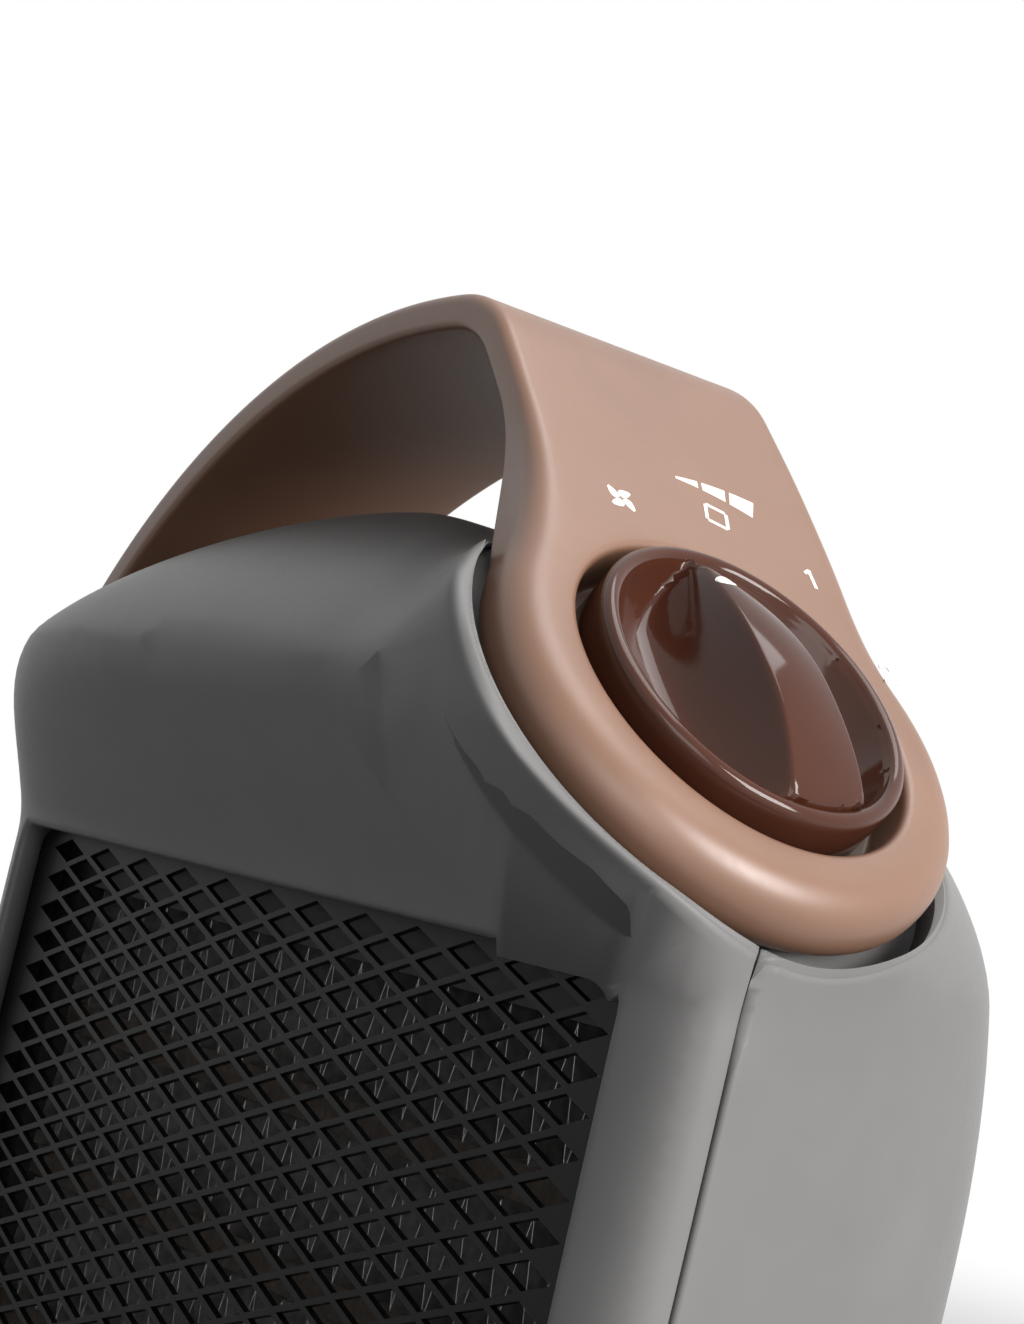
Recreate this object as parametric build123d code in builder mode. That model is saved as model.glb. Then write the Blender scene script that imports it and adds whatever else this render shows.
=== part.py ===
from build123d import *
from math import cos, pi, radians, sin
import os

os.makedirs("parts", exist_ok=True)

# Compact ceramic fan heater with a strap handle and a rotary knob on its right shoulder.
# Millimetres. +X is the heater's right as a person facing it sees it, -Y its front, +Z up.
# The origin lies on the surface it stands on, below the middle of its footprint.

# Body
body_width = 206.0
crown_height = 210.0
widest_height = 156.0
base_width = 192.0
brow_depth = 34.5
brow_height = 181.0
window_depth = 15.0
rear_depth = 88.4
rear_base_depth = 73.0
rear_widest_height = 118.0
front_fullness = 0.78
rear_fullness = 0.69
side_crown_power = 1.7
front_crown_power = 1.3
rear_crown_power = 2.2
wall = 2.5
seam_gap = 0.4

# Seat under the pad's front edge: a slanted cone cut level with the pad
dial_behind_seam = 6.6
cradle_drop = 5.0
cradle_radius = 29.5
cradle_front = 12.5
cradle_low = 3.5
cradle_skirt = 12.0
cradle_lean = 1.0
cradle_depth = 44.0
cradle_foot_radius = 22.0
cradle_foot_back = 4.0
cradle_reach = cradle_front + cradle_radius - dial_behind_seam
seam_y = (cradle_reach - rear_depth) / 2

# Base and feet
foot_height = 4.0
foot_radius = 7.0
front_foot_x = 72.0
rear_foot_x = 52.0
foot_inset = 3.0
base_height = 12.0
base_floor = 3.0
base_z = foot_height
shell_z = base_z + base_height
floor_z = base_z + base_floor

# Window, grille and its frame
window_width = 180.0
window_height = 112.0
window_z = 38.0
window_corner = 4.0
flange_wall = 2.0
grille_setback = 6.0
grille_thickness = 1.2
grille_lap = 3.0
cell_length = 14.3
cell_height = 5.3
strand = 1.2
grille_frame_thickness = 4.0
grille_y = seam_y - grille_setback
window_middle_z = window_z + window_height / 2
window_top_z = window_z + window_height

# Dial, pad and handle
handle_height = 240.0
dial_x = 80.4
dial_z = 188.3
dial_tilt = 44.3
dial_y = seam_y + dial_behind_seam
pad_radius = 36.0
pad_thickness = 12.0
pad_edge = 6.0
dial_well_radius = 26.2
dial_well_depth = 8.0
strap_half_width = 20.0
strap_back_width = 30.0
strap_tail_width = 20.0
strap_thickness = 5.5
strap_run = 66.0
strap_drop = 49.0
arch_radius = 121.0
arch_x = 19.0
arch_end_z = 174.0
recess_gap = 1.0
pad_shadow = 1.2

# Knob, switch and its bracket
knob_gap = 2.2
knob_lift = 0.6
knob_rim_height = 3.0
knob_rim_width = 2.6
knob_dish_depth = 5.0
blade_width = 13.0
blade_height = 9.0
off_angle = 10.0
shaft_radius = 3.0
shaft_socket = 4.0
shaft_reach = 8.0
running_gap = 0.05
loose_gap = 0.3
switch_width = 24.0
switch_depth = 12.0
bracket_thickness = 1.6
bracket_width = 20.0
bracket_length = 40.0
bracket_screw_pitch = 32.0

# Heating element, duct, fan and motor
element_depth = 16.0
frame_lap = 4.0
element_margin = 8.0
bar_count = 3
bar_height = 5.0
bar_depth = 9.0
fin_pitch = 8.0
fin_sheet = 0.5
fin_depth = 12.0
fin_play = 0.1
duct_depth = 16.0
duct_wall = 2.0
fan_radius = 48.0
fan_tip_gap = 4.0
collar_depth = 24.0
collar_wall = 2.5
hub_radius = 14.0
hub_depth = 16.0
hub_setback = 4.0
blade_count = 7
blade_chord = 20.0
blade_sheet = 1.6
blade_pitch = 35.0
motor_shaft_radius = 2.0
motor_radius = 18.0
motor_length = 23.0
motor_cap_radius = 10.0
motor_cap_length = 1.5
spider_thickness = 3.0
spider_arm = 6.0
spider_arms = 4

# Tip-over switch in the base
tip_x = -40.0
tip_y = 0.0
tip_width = 18.0
tip_height = 24.0
plunger_radius = 3.0
plunger_length = 26.0
collar_radius = 5.0
collar_z = 12.0
collar_height = 2.0
spring_length = 10.0
spring_wire = 0.9
spring_turns = 4
tip_lid = 2.0

# Mains inlet, clamp, terminals and cutout
gland_z = 25.0
gland_bore = 3.6
gland_wall = 2.2
gland_flange = 8.5
gland_flange_thickness = 2.5
gland_length = 14.0
clamp_width = 26.0
clamp_depth = 8.0
clamp_height = 9.0
clamp_setback = 24.0
clamp_pinch = 1.0
terminal_x = 45.0
terminal_y = 8.0
terminal_width = 32.0
terminal_depth = 16.0
terminal_height = 13.0
terminal_ways = 3
cutout_x = -45.0
cutout_radius = 8.0
cutout_height = 6.0
cutout_plate = 1.5
cutout_plate_length = 26.0
cutout_plate_width = 12.0

# Screws and their posts
screw_radius = 1.6
screw_head_radius = 3.2
screw_head_height = 2.2
screw_length = 16.0
post_radius = 4.5
screw_bite = 8.0
upper_post_x = 38.0
upper_post_z = 184.0
lower_post_x = 72.0
lower_post_z = 26.0
small_screw_radius = 1.2
small_head_radius = 2.4
small_head_height = 1.8
handle_screw_pitch = 32.0
handle_screw_bite = 1.0
base_post_radius = 4.0
base_post_height = 16.0
base_screw_x = 55.0
base_screw_length = 12.0

# Intake slots in the rear shell
slot_height = 4.5
slot_pitch = 9.0
slot_rows = 11
slot_columns = 3
slot_length = 32.0
slot_column_pitch = 37.0

# Directions of the dial: its axis, and up the strap
dial_axis = (sin(radians(dial_tilt)), 0, cos(radians(dial_tilt)))
strap_up = (-cos(radians(dial_tilt)), 0, sin(radians(dial_tilt)))


def dial_plane(lift=0.0, turn=0.0):
    """Plane square to the dial's axis: local x points to the back and y up the strap, at turn 0."""
    spot = [c + lift * a for c, a in zip((dial_x, dial_y, dial_z), dial_axis)]
    across = (strap_up[0] * sin(radians(turn)), cos(radians(turn)), strap_up[2] * sin(radians(turn)))
    return Plane(origin=tuple(spot), x_dir=across, z_dir=dial_axis)


dial_side_plane = Plane(origin=(dial_x, dial_y, dial_z), x_dir=(0, 1, 0),
                        z_dir=(dial_axis[2], 0, -dial_axis[0]))


def upright(y):
    """Plane facing the front at depth y: local x is X, local y is Z, and extrude goes forward."""
    return Plane(origin=(0, y, 0), x_dir=(1, 0, 0), z_dir=(0, -1, 0))


def dome(share, power):
    """Height of a rounded dome, 1 at share 0 and 0 at share 1."""
    return max(0.0, 1 - min(1.0, share) ** power) ** (1 / power)


def half_width(z, inset):
    top = crown_height - inset
    side = body_width / 2 - inset
    if z > widest_height:
        return side * dome((z - widest_height) / (top - widest_height), side_crown_power)
    foot = base_width / 2 - inset
    return foot + (side - foot) * sin(z / widest_height * pi / 2)


def front_reach(z, inset):
    top = crown_height - inset
    if z > brow_height:
        return (brow_depth - inset) * dome((z - brow_height) / (top - brow_height), front_crown_power)
    share = min(1.0, max(0.0, (z - window_top_z + 2) / (brow_height - window_top_z + 2)))
    ease = share * share * (3 - 2 * share)
    return window_depth - inset + (brow_depth - window_depth) * ease


def rear_reach(z, inset):
    top = crown_height - inset
    back = rear_depth - inset
    if z > rear_widest_height:
        return back * dome((z - rear_widest_height) / (top - rear_widest_height), rear_crown_power)
    foot = rear_base_depth - inset
    return foot + (back - foot) * sin(z / rear_widest_height * pi / 2)


def quarter(across, reach, fullness, t):
    """Point at t of a quarter of the body's outline, from its side (t 0) to its middle (t 1)."""
    u = 1 - t
    x = across * (u ** 3 + 3 * u * u * t + 3 * fullness * u * t * t)
    y = reach * (3 * fullness * u * u * t + 3 * u * t * t + t ** 3)
    return x, y


def reach_at(x, across, reach, fullness):
    """How far a quarter of the outline stands from the seam plane at x, by halving."""
    low, high = 0.0, 1.0
    for _ in range(30):
        t = (low + high) / 2
        if quarter(across, reach, fullness, t)[0] > abs(x):
            low = t
        else:
            high = t
    return quarter(across, reach, fullness, low)[1]


def rear_wall_y(x, z, inset):
    return seam_y + reach_at(x, half_width(z, inset), rear_reach(z, inset), rear_fullness)


def front_wall_y(x, z, inset):
    return seam_y - reach_at(x, half_width(z, inset), front_reach(z, inset), front_fullness)


def lower_heights(low):
    """Heights of the body's sections below the window's top, evenly spaced."""
    return [low + (window_top_z - low) * i / 3 for i in range(4)]


def upper_heights(inset):
    """Heights of the body's sections above the window's top, closer towards the crown."""
    rise = crown_height - inset - window_top_z
    return [window_top_z + rise * sin(i * pi / 18) for i in range(9)] + [window_top_z + rise - 0.2]


def half_section(z, inset, behind, past):
    """Half of the body's outline at height z: two smooth quarters, closed past the seam plane."""
    across = half_width(z, inset)
    reach = rear_reach(z, inset) if behind else -front_reach(z, inset)
    fullness = rear_fullness if behind else front_fullness
    back = seam_y - past if behind else seam_y + past
    with BuildSketch(Plane.XY.offset(z)) as section:
        with BuildLine():
            Bezier((across, seam_y), (across, seam_y + fullness * reach),
                   (fullness * across, seam_y + reach), (0, seam_y + reach))
            Bezier((0, seam_y + reach), (-fullness * across, seam_y + reach),
                   (-across, seam_y + fullness * reach), (-across, seam_y))
            if past:
                Polyline((-across, seam_y), (-across, back), (across, back), (across, seam_y))
            else:
                Line((-across, seam_y), (across, seam_y))
        make_face()
    return section.sketch


def half_form(behind, low, inset, past=0.0):
    """Front or rear half of the body's outline as a solid, from low up to the crown."""
    with BuildPart() as form:
        for heights in (lower_heights(low), upper_heights(inset)):
            with BuildPart(mode=Mode.PRIVATE) as length:
                for z in heights:
                    add(half_section(z, inset, behind, past))
                loft()
            add(length.part)
    return form.part


def strap_outline(grow):
    """Side view of the strap: straight run up from the dial, tight crest, long arch to the left."""
    centre_z = handle_height - arch_radius
    run_dir = (strap_up[0], strap_up[2])
    axis = (dial_axis[0], dial_axis[2])
    top = (dial_x + grow * axis[0], dial_z + grow * axis[1])
    low = pad_thickness + grow
    bend = (top[0] + strap_run * run_dir[0], top[1] + strap_run * run_dir[1])
    outer = arch_radius + grow
    inner = arch_radius - strap_thickness - grow
    crest = (arch_x, centre_z + outer)
    end_out = arch_end(outer, arch_end_z - grow, centre_z)
    end_in = arch_end(inner, arch_end_z - grow, centre_z)
    under_crest = (arch_x - 4, centre_z + inner - 0.1)
    drop = strap_drop + grow
    shoulder = (top[0] - (strap_thickness + 2 * grow) * axis[0] + drop * run_dir[0],
                top[1] - (strap_thickness + 2 * grow) * axis[1] + drop * run_dir[1])
    heel = (top[0] - (low + grow) * axis[0] + (drop - 6) * run_dir[0],
            top[1] - (low + grow) * axis[1] + (drop - 6) * run_dir[1])
    foot = (top[0] - (low + grow) * axis[0], top[1] - (low + grow) * axis[1])
    with BuildLine() as outline:
        Line(top, bend)
        Spline(bend, crest, tangents=(run_dir, (-1, 0)))
        RadiusArc(crest, end_out, -outer)
        Line(end_out, end_in)
        RadiusArc(end_in, under_crest, inner)
        Spline(under_crest, shoulder, tangents=((1, 0), (-run_dir[0], -run_dir[1])))
        Line(shoulder, heel)
        Line(heel, foot)
        Line(foot, top)
    return outline.line


def arch_end(radius, z, centre_z):
    """Point of the arch's left leg at height z."""
    rise = z - centre_z
    return (arch_x - (radius ** 2 - rise ** 2) ** 0.5, z)


def strap_plan(grow):
    """Plan of the strap: flared into the round pad, then parallel, narrower at its tail."""
    bend_x = dial_x + strap_run * strap_up[0]
    flare_x = dial_x + strap_drop * strap_up[0]
    tail_x = arch_x - arch_radius - grow
    pad_side = pad_radius - pad_edge / 2 + grow
    front = [(dial_x, -pad_side), (flare_x, -strap_half_width - 1 - grow),
             (bend_x - 6, -strap_half_width - grow)]
    back = [(tail_x, strap_tail_width + grow), (bend_x, strap_back_width + grow),
            (dial_x, pad_side)]
    with BuildLine(Plane.XY) as plan:
        Spline(*[(x, y + dial_y) for x, y in front], tangents=((-1, 0), (-1, 0)))
        Line((front[-1][0], front[-1][1] + dial_y), (tail_x, front[-1][1] + dial_y))
        Line((tail_x, front[-1][1] + dial_y), (tail_x, back[0][1] + dial_y))
        Spline(*[(x, y + dial_y) for x, y in back], tangents=((1, 0.06), (1, 0)))
        Line((dial_x, back[-1][1] + dial_y), (dial_x, front[0][1] + dial_y))
    return plan.line


def handle_form(grow, pad_top, edge=0.0, ease=0.0):
    """Strap and pad as one solid, grown by grow (the pad by ease more), the pad up to pad_top."""
    with BuildPart() as pad:
        with BuildSketch(dial_plane(-pad_thickness - grow)):
            Circle(pad_radius + grow + ease)
        extrude(amount=pad_thickness + grow + pad_top)
        if edge:
            fillet(pad.edges().filter_by(GeomType.CIRCLE).sort_by(Axis.Z)[-1:], edge)
    with BuildPart() as form:
        with BuildSketch(upright(dial_y)):
            add(strap_outline(grow))
            make_face()
        extrude(amount=2 * pad_radius, both=True)
        with BuildSketch(Plane.XY):
            add(strap_plan(grow))
            make_face()
        extrude(amount=2 * handle_height, mode=Mode.INTERSECT)
        add(pad.part)
    return form.part


def cradle_form(inset):
    """Seat under the pad's front edge, level with the pad, sunk into the casing further down."""
    with BuildPart() as seat:
        rings = [(cradle_drop + inset, -cradle_front, -cradle_low, cradle_radius),
                 (cradle_drop + cradle_skirt, cradle_lean - cradle_front, -cradle_low, cradle_radius),
                 (cradle_depth, cradle_foot_back, 0, cradle_foot_radius)]
        for upper, lower in zip(rings, rings[1:]):
            with BuildPart(mode=Mode.PRIVATE) as length:
                for drop, back, up, radius in (upper, lower):
                    with BuildSketch(dial_plane(-drop)):
                        with Locations((back, up)):
                            Circle(radius - inset)
                loft()
            add(length.part)
        with BuildSketch(upright(seam_y + inset)):
            Rectangle(2 * body_width, 2 * handle_height)
        extrude(amount=body_width, mode=Mode.INTERSECT)
    return seat.part


def hollow_half(behind, outer):
    """Front or rear half of the casing: its wall, and its share of the tray that holds the handle."""
    with BuildPart() as casing:
        add(outer)
        add(half_form(behind, shell_z - 1, wall, past=1), mode=Mode.SUBTRACT)
        if not behind:
            add(cradle_form(wall), mode=Mode.SUBTRACT)
        with BuildPart(mode=Mode.PRIVATE) as tray:
            add(outer)
            add(recess_tray, mode=Mode.INTERSECT)
        add(tray.part)
        add(recess, mode=Mode.SUBTRACT)
        with BuildSketch(upright(seam_y)):
            Rectangle(2 * body_width, 2 * handle_height)
        extrude(amount=seam_gap / 2, both=True, mode=Mode.SUBTRACT)
    return casing.part


recess = handle_form(recess_gap, pad_radius, ease=pad_shadow)
recess_tray = handle_form(recess_gap + wall, 0, ease=pad_shadow)
post_spots = [(-upper_post_x, upper_post_z), (upper_post_x / 4, upper_post_z + 6),
              (-lower_post_x, lower_post_z), (lower_post_x, lower_post_z)]
grille_back_y = grille_y + grille_thickness
element_y = grille_back_y + grille_frame_thickness
duct_y = element_y + element_depth
collar_y = duct_y + duct_depth
spider_y = collar_y + collar_depth
motor_y = spider_y + spider_thickness
fan_z = window_middle_z
frame_width = window_width + 2 * frame_lap
frame_height = window_height + 2 * frame_lap
collar_bore = fan_radius + fan_tip_gap
tray_floor = pad_thickness + recess_gap + wall


def finish(piece, name):
    """Name a piece and write it to its own file."""
    piece.part.label = name
    export_step(piece.part, f"parts/{name}.step")


def front_window(piece_y, depth, width, height, corner=0.0):
    """Sketch of an upright rectangle about the window's middle, extruded back from piece_y."""
    with BuildPart() as block:
        with BuildSketch(upright(piece_y)):
            with Locations((0, window_middle_z)):
                if corner:
                    RectangleRounded(width, height, corner)
                else:
                    Rectangle(width, height)
        extrude(amount=-depth)
    return block.part


def frame_pocket():
    """Room inside the shells for the grille's frame and the element's frame."""
    return front_window(grille_y, grille_thickness + grille_frame_thickness + element_depth + loose_gap,
                        frame_width + 2 * loose_gap, frame_height + 2 * loose_gap)


def along_y(x, z, radius, start, end):
    """Round bar along Y from start to end."""
    with BuildPart() as bar:
        with BuildSketch(upright(start)):
            with Locations((x, z)):
                Circle(radius)
        extrude(amount=start - end)
    return bar.part


def along_z(x, y, radius, start, end):
    """Round bar along Z from start to end."""
    with BuildPart() as bar:
        with BuildSketch(Plane.XY.offset(start)):
            with Locations((x, y)):
                Circle(radius)
        extrude(amount=end - start)
    return bar.part


def base_post_y(side):
    """Depth of a base screw's post, in the rear shell (side 1) or the front shell (side -1)."""
    if side > 0:
        return rear_wall_y(base_screw_x, shell_z, wall) - base_post_radius + 1
    return front_wall_y(base_screw_x, shell_z, wall) + base_post_radius - 1


def shell_posts(behind, outer):
    """Screw posts of one shell: four along Y at the seam, and two upright ones for the base."""
    far = body_width if behind else -body_width
    with BuildPart() as posts:
        for x, z in post_spots:
            add(along_y(x, z, post_radius, seam_y, seam_y + far))
        for x in (-base_screw_x, base_screw_x):
            y = base_post_y(1 if behind else -1)
            add(along_z(x, y, base_post_radius, shell_z, shell_z + base_post_height))
        add(outer, mode=Mode.INTERSECT)
    return posts.part


def post_holes(behind):
    """Holes in one shell's posts for the shell screws and the base screws."""
    with BuildPart() as holes:
        for x, z in post_spots:
            if behind:
                add(along_y(x, z, screw_radius + running_gap, seam_y - 1, seam_y + screw_length))
                head_y = seam_y + screw_length - screw_bite
                add(along_y(x, z, screw_head_radius + loose_gap, head_y, body_width))
            else:
                add(along_y(x, z, screw_radius + running_gap, seam_y - screw_bite - 1, seam_y + 1))
        for x in (-base_screw_x, base_screw_x):
            y = base_post_y(1 if behind else -1)
            add(along_z(x, y, screw_radius + running_gap, shell_z - 1, shell_z + base_screw_length))
    return holes.part


def dial_bar(radius, low, high, spots=((0, 0),)):
    """Round bars along the dial's axis, from low to high about the dial plane."""
    with BuildPart() as bars:
        with BuildSketch(dial_plane(low)):
            with Locations(*spots):
                Circle(radius)
        extrude(amount=high - low)
    return bars.part


handle_screw_spots = [(0, -handle_screw_pitch / 2), (0, handle_screw_pitch / 2)]
bracket_screw_spots = [(-bracket_screw_pitch / 2, 0), (bracket_screw_pitch / 2, 0)]


def tray_holes():
    """Holes through the recess's floor for the switch shaft, handle screws and bracket screws."""
    with BuildPart() as holes:
        low = -tray_floor - 1
        add(dial_bar(shaft_radius + loose_gap, low, 0))
        add(dial_bar(small_screw_radius + running_gap, low, 0, handle_screw_spots + bracket_screw_spots))
    return holes.part


# Front shell
with BuildPart() as front_shell:
    with BuildPart(mode=Mode.PRIVATE) as front_body:
        add(half_form(False, shell_z, 0))
        add(cradle_form(0))
    front_outer = front_body.part
    add(hollow_half(False, front_outer))
    with BuildPart(mode=Mode.PRIVATE) as flange:
        add(front_window(-body_width, body_width + grille_y, window_width + 2 * flange_wall,
                         window_height + 2 * flange_wall, window_corner + flange_wall))
        add(front_outer, mode=Mode.INTERSECT)
    add(frame_pocket(), mode=Mode.SUBTRACT)
    add(flange.part)
    add(shell_posts(False, front_outer))
    add(front_window(-body_width, body_width + seam_y - 1, window_width, window_height, window_corner),
        mode=Mode.SUBTRACT)
    add(post_holes(False), mode=Mode.SUBTRACT)
    add(tray_holes(), mode=Mode.SUBTRACT)
finish(front_shell, "front_shell")

# Rear shell with its intake slots and the hole for the cord gland
with BuildPart() as rear_shell:
    rear_outer = half_form(True, shell_z, 0)
    add(hollow_half(True, rear_outer))
    add(frame_pocket(), mode=Mode.SUBTRACT)
    add(shell_posts(True, rear_outer))
    with BuildSketch(upright(motor_y)):
        with Locations((0, fan_z)):
            with GridLocations(slot_column_pitch, slot_pitch, slot_columns, slot_rows):
                SlotOverall(slot_length, slot_height)
    extrude(amount=-body_width, mode=Mode.SUBTRACT)
    add(post_holes(True), mode=Mode.SUBTRACT)
    add(tray_holes(), mode=Mode.SUBTRACT)
    gland_y = rear_wall_y(0, gland_z, 0)
    add(along_y(0, gland_z, gland_bore + gland_wall + running_gap, gland_y - 3 * wall, gland_y + wall),
        mode=Mode.SUBTRACT)
    add(along_y(0, gland_z, gland_flange + running_gap, gland_y, body_width), mode=Mode.SUBTRACT)
finish(rear_shell, "rear_shell")

# Handle: strap and pad in one piece, with the round well for the knob
with BuildPart() as handle:
    add(handle_form(0, 0, pad_edge))
    with BuildSketch(dial_plane(0)):
        Circle(dial_well_radius)
    extrude(amount=-dial_well_depth, mode=Mode.SUBTRACT)
    add(dial_bar(shaft_radius + loose_gap, -pad_thickness - 1, 0), mode=Mode.SUBTRACT)
    add(dial_bar(small_screw_radius + loose_gap, -pad_thickness - 1, 0, handle_screw_spots),
        mode=Mode.SUBTRACT)
    add(dial_bar(small_head_radius + loose_gap, -dial_well_depth - small_head_height, 0, handle_screw_spots),
        mode=Mode.SUBTRACT)
finish(handle, "handle")

# Knob: bead rim, round dish and a raised blade pointed at both ends
knob_radius = dial_well_radius - knob_gap
knob_low = -dial_well_depth + knob_lift
with BuildPart() as dial_knob:
    dish_radius = knob_radius - knob_rim_width
    bead_low = knob_rim_height - knob_rim_width / 2
    dish_low = knob_rim_height - knob_dish_depth
    with BuildSketch(dial_side_plane):
        with BuildLine():
            Polyline((0, dish_low), (0, knob_low), (knob_radius, knob_low), (knob_radius, bead_low))
            ThreePointArc((knob_radius, bead_low), (knob_radius - knob_rim_width / 2, knob_rim_height),
                          (dish_radius, bead_low))
            Spline((dish_radius, bead_low), (0, dish_low), tangents=((-0.3, -1), (-1, 0)))
        make_face()
    revolve(axis=Axis(dial_side_plane.origin, dial_axis))
    with BuildPart(mode=Mode.PRIVATE) as blade:
        blade_length = 2 * (knob_radius - knob_rim_width / 2)
        side_radius = (blade_length ** 2 / 4 + blade_width ** 2 / 4) / blade_width
        with BuildSketch(dial_plane(knob_low, -off_angle)):
            with BuildLine():
                RadiusArc((0, -blade_length / 2), (0, blade_length / 2), side_radius)
                RadiusArc((0, blade_length / 2), (0, -blade_length / 2), side_radius)
            make_face()
        extrude(amount=blade_height - knob_low)
        crown_radius = (blade_length ** 2 / 4 + (blade_height - 1) ** 2) / (2 * (blade_height - 1))
        crown_centre = dial_plane(blade_height - crown_radius).origin
        with Locations(crown_centre):
            Sphere(crown_radius, mode=Mode.INTERSECT)
    add(blade.part)
    add(dial_bar(shaft_radius + running_gap, knob_low - 1, knob_low + shaft_socket), mode=Mode.SUBTRACT)
finish(dial_knob, "dial_knob")

# Rotary switch: its shaft turns with the knob
switch_top = -tray_floor - bracket_thickness
shaft_low = switch_top - shaft_reach
with BuildPart() as switch_shaft:
    add(dial_bar(shaft_radius, shaft_low, knob_low + shaft_socket))
finish(switch_shaft, "switch_shaft")

with BuildPart() as switch_body:
    with BuildSketch(dial_plane(switch_top)):
        RectangleRounded(switch_width, switch_width, 2)
    extrude(amount=-switch_depth)
    add(dial_bar(shaft_radius + running_gap, shaft_low - loose_gap, 0), mode=Mode.SUBTRACT)
finish(switch_body, "switch_body")

with BuildPart() as switch_bracket:
    with BuildSketch(dial_plane(switch_top)):
        RectangleRounded(bracket_length, bracket_width, 4)
        Circle(shaft_radius + loose_gap, mode=Mode.SUBTRACT)
        with Locations(*bracket_screw_spots):
            Circle(small_screw_radius + running_gap, mode=Mode.SUBTRACT)
    extrude(amount=bracket_thickness)
finish(switch_bracket, "switch_bracket")

# Expanded-metal grille: long diamonds in staggered rows
with BuildPart() as mesh_grille:
    with BuildSketch(upright(grille_back_y)):
        with Locations((0, window_middle_z)):
            Rectangle(window_width + 2 * grille_lap, window_height + 2 * grille_lap)
        half_long = cell_length / 2 - strand
        half_high = cell_height / 2 - strand / 2
        diamond = [(-half_long, 0), (0, -half_high), (half_long, 0), (0, half_high)]
        columns = int(window_width / cell_length)
        rows = int(window_height / cell_height)
        with Locations((0, window_middle_z)):
            with GridLocations(cell_length, cell_height, columns, rows):
                Polygon(*diamond, mode=Mode.SUBTRACT)
            with GridLocations(cell_length, cell_height, columns - 1, rows - 1):
                Polygon(*diamond, mode=Mode.SUBTRACT)
    extrude(amount=grille_thickness)
finish(mesh_grille, "mesh_grille")

with BuildPart() as grille_frame:
    add(front_window(grille_back_y, grille_frame_thickness, frame_width, frame_height))
    add(front_window(grille_back_y - 1, grille_frame_thickness + 2, window_width, window_height),
        mode=Mode.SUBTRACT)
finish(grille_frame, "grille_frame")

# Ceramic element: frame, heating bars and folded fins between them
opening_width = frame_width - 2 * (frame_lap + element_margin)
opening_height = frame_height - 2 * (frame_lap + element_margin)
fin_row = (opening_height - bar_count * bar_height) / (bar_count + 1)
bar_step = fin_row + bar_height
element_low = window_middle_z - opening_height / 2
element_middle_y = element_y + element_depth / 2

with BuildPart() as element_frame:
    add(front_window(element_y, element_depth, frame_width, frame_height))
    add(front_window(element_y - 1, element_depth + 2, opening_width, opening_height), mode=Mode.SUBTRACT)
finish(element_frame, "element_frame")

with BuildPart() as heating_bars:
    with BuildSketch(upright(element_middle_y + bar_depth / 2)):
        for i in range(bar_count):
            with Locations((0, element_low + fin_row + bar_height / 2 + i * bar_step)):
                Rectangle(opening_width, bar_height)
    extrude(amount=bar_depth)
finish(heating_bars, "heating_bars")

fin_count = int(opening_width / fin_pitch)
fin_high = fin_row - 2 * fin_play
fin_peaks = [(-fin_count * fin_pitch / 2 + i * fin_pitch / 2, (i % 2) * (fin_high - fin_sheet))
             for i in range(2 * fin_count + 1)]
with BuildPart() as radiator_fins:
    with BuildSketch(upright(element_middle_y + fin_depth / 2)):
        for i in range(bar_count + 1):
            low = element_low + fin_play + i * bar_step
            below = [(x, low + z) for x, z in fin_peaks]
            above = [(x, z + fin_sheet) for x, z in reversed(below)]
            Polygon(*below, *above, align=None)
    extrude(amount=fin_depth)
finish(radiator_fins, "radiator_fins")

# Duct from the fan to the element
with BuildPart() as fan_duct:
    add(front_window(duct_y, duct_depth, opening_width + 2 * duct_wall, opening_height + 2 * duct_wall))
    add(front_window(duct_y - 1, duct_depth - duct_wall + 1, opening_width, opening_height),
        mode=Mode.SUBTRACT)
    add(along_y(0, fan_z, collar_bore + collar_wall, collar_y - duct_wall, spider_y))
    add(along_y(0, fan_z, collar_bore, collar_y - duct_depth / 2, spider_y + 1), mode=Mode.SUBTRACT)
finish(fan_duct, "fan_duct")

# Fan: hub with pitched blades on the motor's shaft
hub_y = collar_y + hub_setback
with BuildPart() as impeller:
    add(along_y(0, fan_z, hub_radius, hub_y, hub_y + hub_depth))
    for i in range(blade_count):
        turn = 2 * pi * i / blade_count
        out = (cos(turn), 0, sin(turn))
        root = (hub_radius - 1.5) * cos(turn), hub_y + hub_depth / 2, fan_z + (hub_radius - 1.5) * sin(turn)
        with BuildSketch(Plane(origin=root, x_dir=(0, 1, 0), z_dir=out)):
            Rectangle(blade_chord, blade_sheet, rotation=blade_pitch)
        extrude(amount=fan_radius - hub_radius)
    add(along_y(0, fan_z, motor_shaft_radius + running_gap, hub_y - 5, hub_y + hub_depth + 5),
        mode=Mode.SUBTRACT)
finish(impeller, "impeller")

with BuildPart() as motor_shaft:
    add(along_y(0, fan_z, motor_shaft_radius, hub_y - 1, motor_y + motor_length))
finish(motor_shaft, "motor_shaft")

with BuildPart() as motor_bracket:
    with BuildSketch(upright(spider_y + spider_thickness)):
        with Locations((0, fan_z)):
            Circle(collar_bore + collar_wall)
            Circle(collar_bore, mode=Mode.SUBTRACT)
            for i in range(spider_arms):
                Rectangle(2 * collar_bore + 1, spider_arm, rotation=45 + 180 * i / spider_arms)
            Circle(motor_radius)
            Circle(motor_shaft_radius + loose_gap, mode=Mode.SUBTRACT)
    extrude(amount=spider_thickness)
finish(motor_bracket, "motor_bracket")

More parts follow.
